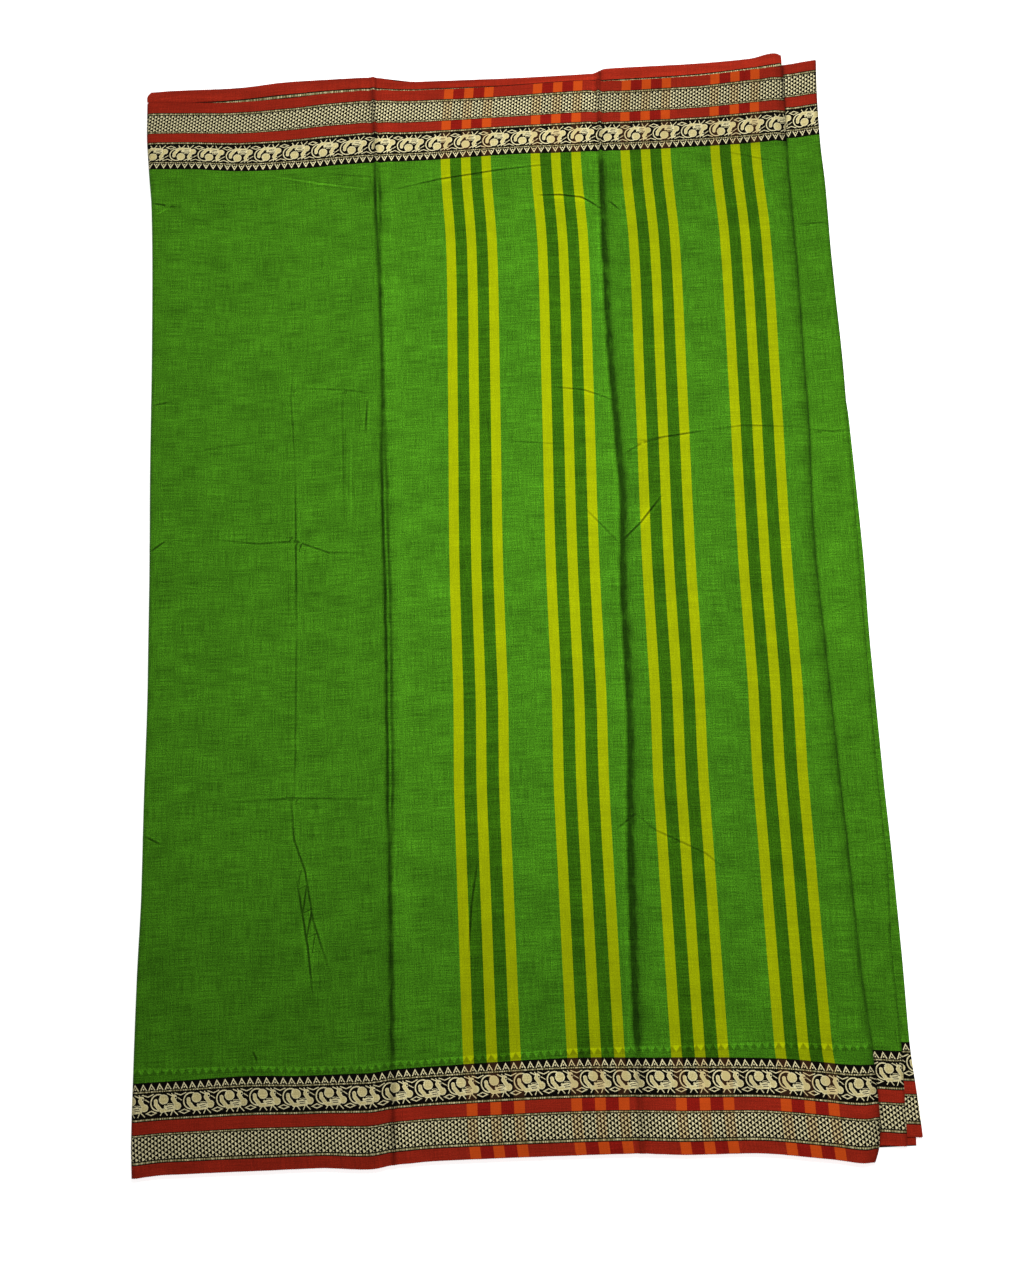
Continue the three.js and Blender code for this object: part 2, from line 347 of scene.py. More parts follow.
def heap_top(x, y):
    """Height of the hidden layers' upper face, which every stretch above follows."""
    def rise(inset):
        t = np.minimum(inset / FULL, 1.0)
        return np.where(t > 0, 1 - (1 - t) ** 2, 1.5 * t)
    across = np.minimum(rise(x - side("left", y)), rise(outline_right(y) - x))
    along = np.minimum(rise(y - lower("second", x)), rise(upper("second", x) - y))
    rounded = np.where((across < 0) & (along < 0), -across * along, across * along)
    height = RIM_HEIGHT + (HEAP_HEIGHT - RIM_HEIGHT) * rounded
    for name in CREASE_NAMES:
        height = height + crease(name + "_crest", y) * crest_section(x - crease(name, y))
    return height


# Wrinkles on top: a path, the width to where it has faded, its height, and how much painted
# shade darkens its line, which is below nothing for a painted highlight on a bright edge.
WRINKLES = (
    (((-0.236, 0.462), (-0.186, 0.451), (-0.133, 0.442)), 0.0035, 0.0010, -0.50),
    (((-0.103, 0.441), (-0.055, 0.451), (0.015, 0.460), (0.069, 0.465)), 0.0050, 0.0012, 0.60),
    (((-0.180, 0.463), (-0.127, 0.457)), 0.0040, 0.0008, 0.22),
    (((0.055, 0.428), (0.080, 0.427), (0.104, 0.423), (0.127, 0.407)), 0.0040, 0.0014, 0.78),
    (((0.133, 0.418), (0.146, 0.405)), 0.0035, 0.0010, 0.40),
    (((0.061, 0.201), (0.095, 0.196), (0.126, 0.183)), 0.0045, 0.0010, 0.42),
    (((0.151, 0.136), (0.190, 0.141), (0.225, 0.145)), 0.0045, 0.0011, 0.50),
    (((0.225, 0.145), (0.264, 0.149), (0.332, 0.144)), 0.0045, 0.0010, 0.30),
    (((0.132, 0.121), (0.155, 0.134), (0.173, 0.137)), 0.0045, 0.0010, 0.35),
    (((0.088, 0.065), (0.123, 0.024)), 0.0050, 0.0010, 0.30),
    (((0.123, 0.024), (0.146, 0.045), (0.172, 0.076)), 0.0050, 0.0011, 0.60),
    (((-0.010, 0.173), (-0.009, 0.135)), 0.0050, 0.0008, 0.25),
    (((0.005, 0.142), (0.068, 0.136)), 0.0050, 0.0008, 0.22),
    (((-0.217, 0.241), (-0.220, 0.200), (-0.216, 0.117)), 0.0050, 0.0009, 0.24),
    (((-0.216, 0.117), (-0.216, 0.038), (-0.216, -0.064)), 0.0050, 0.0011, 0.44),
    (((-0.216, -0.044), (-0.218, -0.182), (-0.220, -0.226)), 0.0050, 0.0009, 0.30),
    (((-0.165, 0.218), (-0.165, 0.056)), 0.0045, 0.0007, 0.22),
    (((-0.156, 0.156), (-0.158, 0.055)), 0.0045, 0.0007, -0.24),
    (((-0.138, 0.196), (-0.141, 0.155)), 0.0045, 0.0010, 0.45),
    (((-0.305, 0.046), (-0.257, 0.039), (-0.216, 0.040), (-0.181, 0.026), (-0.138, 0.025)),
     0.0050, 0.0010, 0.38),
    (((-0.218, 0.210), (-0.164, 0.207), (-0.130, 0.201)), 0.0050, 0.0009, 0.30),
    (((-0.368, 0.036), (-0.353, 0.046)), 0.0045, 0.0010, 0.55),
    (((-0.372, 0.436), (-0.347, 0.430)), 0.0045, 0.0010, 0.60),
    (((-0.369, 0.422), (-0.355, 0.429)), 0.0040, 0.0008, -0.40),
    (((-0.369, 0.198), (-0.349, 0.201)), 0.0040, 0.0008, 0.35),
    (((-0.325, 0.142), (-0.300, 0.147), (-0.238, 0.152)), 0.0050, 0.0008, 0.20),
    (((-0.223, -0.226), (-0.220, -0.269), (-0.209, -0.301), (-0.202, -0.348), (-0.186, -0.399)),
     0.0055, 0.0012, 0.45),
    (((-0.218, -0.306), (-0.207, -0.376), (-0.203, -0.421)), 0.0055, 0.0012, 0.55),
    (((-0.289, -0.230), (-0.223, -0.228), (-0.136, -0.232)), 0.0070, 0.0012, 0.30),
    (((-0.037, -0.295), (-0.045, -0.341), (-0.049, -0.386)), 0.0050, 0.0010, 0.50),
    (((-0.370, -0.260), (-0.354, -0.268)), 0.0045, 0.0010, 0.45),
    (((-0.261, -0.470), (-0.257, -0.481)), 0.0045, 0.0010, 0.45),
    (((0.103, -0.272), (0.123, -0.257)), 0.0045, 0.0010, 0.42),
    (((0.123, -0.257), (0.141, -0.274), (0.190, -0.299), (0.210, -0.317)), 0.0050, 0.0010, 0.30),
    (((0.268, 0.472), (0.334, 0.455)), 0.0045, 0.0009, 0.20),
)
PAINTED_LINE_HALF = 0.0007           # half width of a wrinkle's painted shade line
WRINKLE_REACH = 0.010
SWELL_SIZE = 0.110              # breadth of the slow rises in cloth that lies on cloth
SWELL_HEIGHT = 0.0020
RUMPLE_SIZE = 0.030             # and of the finer unevenness on them
RUMPLE_HEIGHT = 0.00090


def beside_path(x, y, path):
    """How far a place is from a path, on which side of it, and how far along it from 0 to 1."""
    best = np.full(x.shape, 1e9)
    along, way = np.zeros(x.shape), np.ones(x.shape)
    lengths = [math.dist(a, b) for a, b in zip(path, path[1:])]
    done = 0.0
    for (ax, ay), (bx, by), length in zip(path, path[1:], lengths):
        t = np.clip(((x - ax) * (bx - ax) + (y - ay) * (by - ay)) / length ** 2, 0, 1)
        away = np.hypot(x - ax - t * (bx - ax), y - ay - t * (by - ay))
        turn = (bx - ax) * (y - ay) - (by - ay) * (x - ax)
        nearer = away < best
        best = np.where(nearer, away, best)
        way = np.where(nearer, np.where(turn < 0, -1.0, 1.0), way)
        along = np.where(nearer, (done + t * length) / sum(lengths), along)
        done += length
    return best, way, along


SWELL_SEED = 3.1
RUMPLE_SEED = 7.7
CALM_EDGE = 0.03                # in from the selvedges, where the swells are lower
CREST_SHARPNESS = 0.8           # how much of a crest the top stretch adds to the heap's own
PUFF_HEIGHT = 0.0008            # and how it puffs up either side of it
PUFF_PLACE = 0.013
PUFF_WIDTH = 0.007


def ridge(x, y, path, width, height):
    """A soft ridge along a path, which fades out at its two ends."""
    away, _, along = beside_path(x, y, path)
    fade = np.sin(np.pi * np.clip(along, 0.02, 0.98)) ** 0.5
    return height * fade * bump(away, width, 1.6)


def wrinkle_marks(x, y, wrinkles):
    """For the material: each place's distance in mm from its nearest wrinkle, with a sign for
    its side so that it runs evenly through the line, and how much painted shade its line has there."""
    nearest = np.full(x.shape, WRINKLE_REACH)
    distance, depth = nearest * MM, np.zeros(x.shape)
    for path, dark in wrinkles:
        away, way, along = beside_path(x, y, path)
        near = np.clip((WRINKLE_REACH - away) / 0.003, 0, 1)
        # sharp is the painted shade of the wrinkle's line here, fading towards its ends
        sharp = dark * near * np.sin(np.pi * np.clip(along, 0, 1)) ** 0.5
        closer = away < nearest
        distance = np.where(closer, way * away * MM, distance)
        depth = np.where(closer, sharp, depth)
        nearest = np.minimum(nearest, away)
    return {"Wrinkle": distance, "Wrinkle depth": depth}


def soft_noise(x, y, size, seed):
    """Smooth unevenness from 0 to 1, the same on every run."""
    flat = [noise.noise((a / size, b / size, seed)) for a, b in zip(x.ravel(), y.ravel())]
    return np.clip(0.5 + 0.5 * np.array(flat).reshape(x.shape), 0, 1)


def top_relief(x, y):
    """What the top stretch adds to the heap's own form: slow swells, rumples and wrinkles."""
    inside = ramp(y - lower("top", x), 0, CALM_EDGE) * ramp(upper("top", x) - y, 0, CALM_EDGE)
    relief = SWELL_HEIGHT * soft_noise(x, y, SWELL_SIZE, SWELL_SEED) * (0.4 + 0.6 * inside)
    relief = relief + RUMPLE_HEIGHT * soft_noise(x, y, RUMPLE_SIZE, RUMPLE_SEED)
    for path, width, height, _ in WRINKLES:
        relief = relief + ridge(x, y, path, width, height)
    for name in CREASE_NAMES:
        offset = x - crease(name, y)
        crest = CREST_SHARPNESS * crease(name + "_crest", y) * bump(offset, CREST_WIDTH)
        relief = relief + crest + PUFF_HEIGHT * bump(np.abs(offset) - PUFF_PLACE, PUFF_WIDTH)
    return relief


# Painted shade lines along a crease: how far right of it, how broad, and how dark, with values below
# nothing for painted highlights.
SINGLE_LINES = ((0.0, 0.0022, 0.66), (0.0048, 0.0030, -0.14))
DOUBLE_LINES = ((-0.0028, 0.0018, 0.66), (0.0026, 0.0019, 0.56), (0.0, 0.0012, -0.34))
SECOND_LINES = ((-0.0012, 0.0024, 0.66), (0.0026, 0.0030, 0.46), (-0.0064, 0.0024, -0.20))
# Broad painted shade and painted light beside the creases.
BESIDE_FIRST = ((-0.003, 0.008, 0.14), (0.013, 0.008, -0.10))
BESIDE_SECOND = ((0.006, 0.010, 0.12),)
LINE_WAVER = 0.0016             # how far these lines waver, and the size and seed of that
WAVER_NOISE = (0.016, 4.4)
FIRST_UNEVEN = (0.022, 9.1)     # size and seed of their unevenness
SECOND_UNEVEN = (0.022, 6.3)
FIELD_FROM = (-0.488, -0.478)   # where the borders end, and the painted crease shade grows stronger on the plain cloth
FIELD_TO = (0.474, 0.464)
RIGHT_FOLD_SHADES = ((0.011, 0.26), (0.0042, 0.34))     # painted shade at the folds: how far in, and how dark
LEFT_FOLD_SHADES = ((0.0050, 0.25),)
LOW_PART = (-0.26, -0.38)       # the low part of the pack gets painted shade, the high part painted light
HIGH_PART = (0.15, 0.37)
UPPER_BORDER = (0.476, 0.482)
PANEL_EDGE = 0.02


def lines_at(offset, lines):
    return sum(dark * bump(offset - place, width) for place, width, dark in lines)


def fold_shade(inset, shades):
    return sum(dark * ramp(inset, reach, 0) for reach, dark in shades)


def top_painted_shade(x, y):
    """How much painted shade the top stretch gets, below nothing for painted light: lines along
    its creases, shade at its folds, tones over its panels and from bottom to top, and darker along its
    upper border.
    """
    waver = LINE_WAVER * (soft_noise(x * 0, y, *WAVER_NOISE) - 0.5)
    first, second = x - crease("first", y), x - crease("second", y)
    double = crease("double", y)
    field = ramp(y, *FIELD_FROM) * ramp(y, *FIELD_TO)
    line = (1 - double) * lines_at(first + waver, SINGLE_LINES)
    line = line + double * lines_at(first + waver, DOUBLE_LINES)
    line = line * (0.75 + 0.5 * soft_noise(x * 0, y, *FIRST_UNEVEN))
    dark = line * (0.55 + 0.45 * field) + lines_at(first + waver, BESIDE_FIRST)
    line = lines_at(second + waver, SECOND_LINES)
    line = line * (0.75 + 0.5 * soft_noise(x * 0, y, *SECOND_UNEVEN))
    dark = dark + (line + lines_at(second + waver, BESIDE_SECOND)) * (0.30 + 0.70 * field)
    dark = dark + fold_shade(side("top", y) - x, RIGHT_FOLD_SHADES)
    dark = dark + fold_shade(x - side("left", y), LEFT_FOLD_SHADES)
    # Painted shade over the panels either side of the creases and low down, painted light high up.
    left_panel, right_panel = ramp(first, 0, -PANEL_EDGE), ramp(second, 0, PANEL_EDGE)
    low, high = ramp(y, *LOW_PART), ramp(y, *HIGH_PART)
    dark = dark + left_panel * (0.12 - 0.07 * high) + right_panel * (0.08 - 0.18 * low)
    return dark + 0.09 * low - 0.05 * high * (1 - right_panel) + 0.10 * ramp(y, *UPPER_BORDER)


# Nets of points and the shells made from them.


def spread(counts):
    """Places along a row of marks: each stretch between two marks is divided evenly."""
    steps = [k + np.arange(count) / count for k, count in enumerate(counts)]
    return np.append(np.concatenate(steps), len(counts))


def between(marks, places, at, axis):
    """The line at each place, where whole places are the marks themselves. axis is the net's."""
    lines = np.stack([mark(at) for mark in marks])
    k = np.minimum(places.astype(int), len(marks) - 2)
    t = places - k
    if axis == 1:
        columns = np.arange(at.shape[1])
        low = lines[k, :, columns].T
        high = lines[k + 1, :, columns].T
        return low * (1 - t) + high * t
    rows = np.arange(at.shape[0])
    low = lines[k, rows, :]
    high = lines[k + 1, rows, :]
    return low * (1 - t)[:, None] + high * t[:, None]


def plan_net(column_marks, columns, row_marks, rows):
    """Where each row crosses each column. Both are nearly straight, so a few rounds do."""
    rounds = 5
    x = np.zeros((len(rows), len(columns)))
    y = np.zeros_like(x)
    for _ in range(rounds):
        y = between(row_marks, rows, x, 0)
        x = between(column_marks, columns, y, 1)
    return x, y


OUTER_BAND = 0.0113             # the outermost band, on the weave
OUTER_BAND_SHOWN = 0.0132       # and as it lies at the upper selvedge, where the cloth is slack
LOOSE_BORDER = 0.006            # how much wider the second stretch's upper border lies


TUCKED_IN = 0.002               # the turned stretch's net has a row this far inside the top's edge
TUCKED_V = 0.014                # and the weave's place there, in from the selvedge


def row_marks(name):
    """The selvedges of a stretch and the inner edges of its two borders, and the weave's v there."""
    width, border = sizes().cloth_width, sizes().border
    inner = [lambda x: lower(name, x) + border, lambda x: upper(name, x) - border]
    if name == "top":
        inner = [lambda x, edge=edge: read_table(BORDER_LINES, "x", edge, x) for edge in ("lower", "upper")]
    elif name == "second":
        inner[1] = lambda x: upper(name, x) - border - LOOSE_BORDER
    marks = [lambda x: lower(name, x), *inner, lambda x: upper(name, x)]
    v = [0.0, border, width - border, width]
    if name == "turned":
        marks.insert(3, lambda x: upper("top", x) - TUCKED_IN)
        v.insert(3, width - TUCKED_V)
    elif name == "top":
        marks.insert(3, lambda x: upper("top", x) - OUTER_BAND_SHOWN)
        v.insert(3, width - OUTER_BAND)
    return marks, np.array(v)


def bake_place(u, v, part):
    """Where a point lies on the OFBake map, with most room for the borders."""
    width, border = sizes().cloth_width, sizes().border
    across = (u - u.min()) / (u.max() - u.min()) * 0.99 + 0.005
    up = np.interp(v, (0.0, border, width - border, width), (0.0, 0.32, 0.68, 1.0))
    low, high = {"outer": (0.080, 0.995), "inner": (0.005, 0.055)}[part]
    return np.stack((across, low + (high - low) * up), -1)


def new_piece(name, data):
    """An object at the origin, in the scene."""
    piece = bpy.data.objects.new(name, data)
    bpy.context.collection.objects.link(piece)
    return piece


def smooth_piece(name, mesh):
    """A piece with smooth faces, but sharp where it turns a corner."""
    mesh.shade_smooth()
    mesh.set_sharp_from_angle(angle=SHARP_ANGLE)
    return new_piece(name, mesh)


SHARP_ANGLE = math.radians(50)


def shell(name, middle, normal, u, v, marks):
    """A closed thin shell about a net of points, with its weave's own map in metres.
    Its inner face has every second point of the net."""
    half = sizes().wall / 2
    rows, columns = u.shape
    outer = middle + normal * half
    inner = (middle - normal * half)[::2, ::2]
    count = rows * columns
    at = np.arange(count).reshape(rows, columns)
    under = np.arange(inner[..., 0].size).reshape(inner.shape[:2]) + count
    faces = []
    for net, turned in ((at, False), (under, True)):
        a, b, c, d = net[:-1, :-1], net[:-1, 1:], net[1:, 1:], net[1:, :-1]
        order = (a, d, c, b) if turned else (a, b, c, d)
        faces += np.stack(order, -1).reshape(-1, 4).tolist()
    rims = []
    for edge, below in ((at[0], under[0]), (at[-1, ::-1], under[-1, ::-1]),
                        (at[::-1, 0], under[::-1, 0]), (at[:, -1], under[:, -1])):
        rims.append(np.stack((edge[:-2:2], below[:-1], below[1:], edge[2::2], edge[1:-1:2]), -1))
        faces += rims[-1].tolist()
    mesh = bpy.data.meshes.new(name)
    points = np.concatenate((outer.reshape(-1, 3), inner.reshape(-1, 3)))
    mesh.from_pydata(points.tolist(), [], faces)
    thin_u, thin_v = u[::2, ::2], v[::2, ::2]
    weave = np.stack((np.append(u, thin_u), np.append(v, thin_v)), -1)
    corners = np.concatenate([np.array(face) for face in faces])
    mesh.uv_layers.new(name="Weave").data.foreach_set("uv", weave[corners].ravel())

    # The rims lie in narrow rows of their own, between the two faces.
    bake = np.concatenate((bake_place(u, v, "outer").reshape(-1, 2),
                           bake_place(thin_u, thin_v, "inner").reshape(-1, 2)))[corners]
    start = len(corners) - sum(rim.size for rim in rims)
    for k, rim in enumerate(rims):
        steps = np.linspace(0.01, 0.98, len(rim))[:, None]
        steps = steps + np.array((0, 0, 1, 1, 0.5)) * 0.97 / len(rim)
        height = 0.060 + 0.004 * k + np.array((0.002, 0, 0, 0.002, 0.002)) + 0 * steps
        bake[start:start + rim.size] = np.stack((np.minimum(steps, 0.995), height), -1).reshape(-1, 2)
        start += rim.size
    mesh.uv_layers.new(name="OFBake").data.foreach_set("uv", bake.ravel())
    for label, values in marks.items():
        values = np.append(values, 0 * thin_u)
        mesh.attributes.new(label, "FLOAT", "POINT").data.foreach_set("value", values)
    return smooth_piece(name, mesh), (middle[0], middle[-1])


def give_materials(piece, field, border):
    """The border's material where a face lies in or near a border, the field's elsewhere."""
    mesh = piece.data
    mesh.materials.append(field)
    mesh.materials.append(border)
    near = sizes().border + SHOW_THROUGH_REACH
    uv = np.zeros(len(mesh.loops) * 2)
    mesh.uv_layers["Weave"].data.foreach_get("uv", uv)
    starts = np.zeros(len(mesh.polygons), np.int32)
    mesh.polygons.foreach_get("loop_start", starts)
    totals = np.diff(np.append(starts, len(mesh.loops)))
    v = np.add.reduceat(uv[1::2], starts) / totals
    index = ((v < near) | (v > sizes().cloth_width - sizes().border)).astype(np.int32)
    mesh.polygons.foreach_set("material_index", index)


def upright(shape):
    """Normals that all point up."""
    normal = np.zeros(shape + (3,))
    normal[..., 2] = 1
    return normal


def rolled(line, half_width, half_height, turns):
    """Points and normals across a fold, round from the top of a roll. The line is that top."""
    x, y, top = line
    half_height = half_height + 0 * y
    points, normals = [], []
    for turn in turns:
        out, up = math.cos(turn), math.sin(turn)
        points.append(np.stack((x + half_width * out, y, top - half_height * (1 - up)), -1))
        normals.append(np.stack((half_height * out, 0 * y, half_width * up + 0 * y), -1))
    normals = np.stack(normals, 1)
    return np.stack(points, 1), normals / np.linalg.norm(normals, axis=2, keepdims=True)


def underside(level):
    return AIR + level * LAYER


def outer_top(x, y, level):
    """Height of a stretch's upper face."""
    return heap_top(x, y) + underside(level) + CAD_WALL


LEFT_TURNS = [math.pi * (1.5 - k / ROLL_STEPS) for k in range(ROLL_STEPS)]
RIGHT_TURNS = [math.pi * (0.5 - (k + 1) / ROLL_STEPS) for k in range(ROLL_STEPS)]


def round_rolls(middle, u_flat, first):
    """The weave's u: the flat part's own, measured on round the rolls at its two ends."""
    step = np.linalg.norm(np.diff(middle[:, :, [0, 2]], axis=1), axis=2)
    u_left = u_flat[:, :1] - np.cumsum(step[:, :first][:, ::-1], 1)[:, ::-1]
    u_right = u_flat[:, -1:] + np.cumsum(step[:, first + u_flat.shape[1] - 1:], 1)
    return np.concatenate((u_left, u_flat, u_right), 1)


NEAR_LEFT_FOLD = 0.030          # places where the top stretch's net changes
NEAR_RIGHT_FOLD = 0.020
FOLD_PUFF = 0.0012              # its rise beside the right fold, how far in, and how broad
FOLD_PUFF_PLACE = 0.014
FOLD_PUFF_WIDTH = 0.007
FOLD_DROP = 0.0010              # and its fall at the fold, and how broad
FOLD_DROP_WIDTH = 0.008


def top_cloth():
    """The stretch on top, from under the rolled left fold to its right fold."""
    half = sizes().wall / 2
    marks, v_marks = row_marks("top")
    rows = spread((26, 246, 21, 5))
    column_marks = (
        lambda y: side("left", y) + LEFT_ROLL,
        lambda y: side("left", y) + NEAR_LEFT_FOLD,
        *crease_marks(),
        lambda y: side("top", y) - NEAR_RIGHT_FOLD,
        lambda y: side("top", y) - RIGHT_ROLL,
    )
    columns = spread((8, 46, 24, 56, 24, 44, 11))
    x, y = plan_net(column_marks, columns, marks, rows)
    inset = side("top", y) - x
    puff = FOLD_PUFF * bump(inset - FOLD_PUFF_PLACE, FOLD_PUFF_WIDTH)
    drop = FOLD_DROP * ramp(inset - RIGHT_ROLL, FOLD_DROP_WIDTH, 0) ** 2
    z = outer_top(x, y, 3) + top_relief(x, y) + puff - drop - half
    flat = np.stack((x, y, z), -1)

    left, lie = rolled(flat[:, 0].T, LEFT_ROLL - half, (z[:, 0] - half) / 2, LEFT_TURNS)
    tuck = np.stack((x[:, 0] + LEFT_TUCK, y[:, 0], np.full(len(rows), half)), -1)[:, None]
    left = np.concatenate((tuck, left), 1)
    lie = np.concatenate((np.broadcast_to((0.0, 0.0, -1.0), tuck.shape), lie), 1)
    right_height = LAYER / 2 + CAD_WALL / 2 - half
    right, right_lie = rolled(flat[:, -1].T, RIGHT_ROLL - half, right_height, RIGHT_TURNS)

    middle = np.concatenate((left, flat, right), 1)
    normal = np.concatenate((lie, upright(x.shape), right_lie), 1)
    u = round_rolls(middle, x - lean(y), left.shape[1])
    v = np.broadcast_to(np.interp(rows, np.arange(len(marks)), v_marks)[:, None], u.shape)
    x, y = middle[..., 0], middle[..., 1]
    marks = wrinkle_marks(x, y, [(path, dark) for path, _, _, dark in WRINKLES])
    marks["Pressed"] = top_painted_shade(x, y)
    return shell("top_cloth", middle, normal, u, v, marks)


def flat_cloth(name, edges, level, lines, v_of, relief, painted_shade):
    """A stretch that lies flat inside the pack and ends at its right in a narrow fold.
    lines are its left end, two places where its net is fine, and its right fold."""
    half = sizes().wall / 2
    marks, v_marks = row_marks(edges)
    rows = spread((14, 110, 14) if len(marks) == 4 else (14, 110, 10, 10))
    left_line, fine_from, fine_to, right_line = lines
    column_marks = (left_line, *crease_marks(), fine_from, fine_to, lambda y: right_line(y) - SMALL_ROLL)
    columns = spread((12, 12, 12, 12, 14, 14, 12))
    x, y = plan_net(column_marks, columns, marks, rows)
    z = outer_top(x, y, level) + relief(x, y) - half
    flat = np.stack((x, y, z), -1)
    right, right_lie = rolled(flat[:, -1].T, SMALL_ROLL - half, CAD_WALL / 2 - half, RIGHT_TURNS)
    middle = np.concatenate((flat, right), 1)
    normal = np.concatenate((upright(x.shape), right_lie), 1)
    u = round_rolls(middle, x - lean(y), 0)
    v = np.broadcast_to(np.interp(rows, np.arange(len(marks)), v_marks)[:, None], u.shape)
    x, y = middle[..., 0], middle[..., 1]
    marks = wrinkle_marks(x, y, STRIP_WRINKLES if edges == "second" else ())
    marks["Pressed"] = painted_shade(x, y)
    return shell(name, middle, normal, u, v_of(x, y, v), marks)


def own_v(x, y, v):
    return v


def turned_v(x, y, v):
    """The turned stretch's selvedge curls, so its outer band shows wider or narrower than it is."""
    shows = read_table(TURNED_SHOWS, "x", "width", x)
    edge, over = upper("turned", x), upper("top", x)
    past = np.clip((edge - y) / np.maximum(edge - over, 0.001), 0, 1) * shows
    within = np.maximum(over - y, 0)
    return np.where(v > sizes().cloth_width / 2, sizes().cloth_width - past - within, v)


def past_top(x, y):
    """From 0 at the top stretch's upper selvedge to 1 at the turned one's."""
    over = upper("top", x)
    return np.clip((y - over) / np.maximum(upper("turned", x) - over, 0.001), 0, 1)


def turned_relief(x, y):
    """The turned stretch curls up along its selvedge, more at some places than at others."""
    curl = 0.6 + 0.8 * soft_noise(x, 0 * y, *CURL_NOISE)
    return CURL_HEIGHT * curl * np.sin(np.pi * past_top(x, y))


CURL_NOISE = (0.055, 5.3)       # size and seed of the curl's unevenness
STREAK_SIZE = 0.0042            # streaks along the turned selvedge, their stretch and seed
STREAK_STRETCH = (0.09, 0.011)
STREAK_SEED = 2.2
NOTCHES = ((0.133, 0.0035, 0.60), (-0.1225, 0.0014, 0.45))      # place, width, and how dark the painted shade is where a crease crosses
BRIGHT_PART = (-0.05, 0.10)     # along X, past which the turned selvedge lies open to the light, with painted light
STRIP_NOISE = (0.048, 8.4)


def turned_painted_shade(x, y):
    """Painted shadow along the top stretch's edge and painted shade at the creases, less shadow and painted
    light where the selvedge lies open to the light, with long lighter streaks.
    """
    past = past_top(x, y)
    along, across = STREAK_STRETCH
    streaks = soft_noise(x * along, past * across, STREAK_SIZE, STREAK_SEED) - 0.5
    bright = ramp(x, *BRIGHT_PART)
    edge = (0.45 - 0.33 * bright) * bump(past, 0.16)
    return edge + lines_at(x, NOTCHES) - 0.5 * streaks - 0.20 * bright


def right_strip(x, y):
    """From 0 under the top stretch's right fold to 1 on the strip that shows past it."""
    return ramp(x - side("top", y), 0.001, 0.005)


STRIP_WRINKLES = (              # a path, and how much painted shade its line gets
    (((0.342, 0.383), (0.374, 0.385)), 0.45),
    (((0.333, 0.143), (0.360, 0.140), (0.377, 0.142)), 0.40),
    (((0.338, 0.250), (0.362, 0.243)), 0.14),
    (((0.336, -0.060), (0.366, -0.048)), 0.15),
    (((0.342, -0.310), (0.362, -0.322)), 0.14),
)


def strip_relief(x, y):
    relief = 0.0011 * soft_noise(x, y, *STRIP_NOISE)
    for path, _ in STRIP_WRINKLES:
        relief = relief + ridge(x, y, path, 0.0045, 0.0009)
    return right_strip(x, y) * relief


def strip_painted_shade(x, y):
    # Painted shadow beside the top stretch's fold, painted shade at this strip's own fold, and darker
    # towards the upper end.
    beside = np.maximum(x - side("top", y), 0)
    dark = 0.62 * bump(beside, 0.0019) + fold_shade(side("second", y) - x, ((0.0030, 0.50),))
    return dark + 0.08 * ramp(y, 0.10, 0.35)


def no_relief(x, y):
    return 0 * x


CURL_HEIGHT = 0.0013            # how far the turned selvedge curls up


def hidden_cloth():
    """The layers that nothing shows of, with the folds and selvedges of three at their edges."""
    marks, v_marks = row_marks("hidden")
    rows = spread((10, 40, 10))
    v = np.interp(rows, np.arange(len(marks)), v_marks)
    column_marks = (
        lambda y: side("left", y) + HIDDEN_LEFT_INSET,
        *crease_marks(),
        lambda y: side("hidden", y),
    )
    columns = spread((12, 10, 12, 10, 16))
    x, y = plan_net(column_marks, columns, marks, rows)
    top = np.stack((x, y, heap_top(x, y)), -1)
    floor = np.stack((x, y, np.zeros_like(x)), -1)
    return layered_solid("hidden_cloth", top, floor, x - lean(y), np.broadcast_to(v[:, None], x.shape))


LAYERS_SHOWN = (                # up the hidden layers' edge: from, to, and how far each stands out
    (0.02, 0.31, 0.0000),
    (0.36, 0.65, 0.0011),
    (0.70, 0.98, -0.0007),
)
NOTCH = 0.0022                  # how far the gaps between them go in


ROUND_EDGE = 0.0007             # how far a layer's edge is rounded back
EDGE_STEPS = 4


def edge_section():
    """Points up the layered edge: part of the way up, and out."""
    section = []
    for low, high, out in LAYERS_SHOWN:
        section.append((low, out - NOTCH))
        for k in range(EDGE_STEPS + 1):
            turn = math.pi * (k / EDGE_STEPS - 0.5)
            rise = (math.sin(turn) + 1) / 2
            section.append((low + (high - low) * rise, out - ROUND_EDGE * (1 - math.cos(turn))))
        section.append((high, out - NOTCH))
    return section


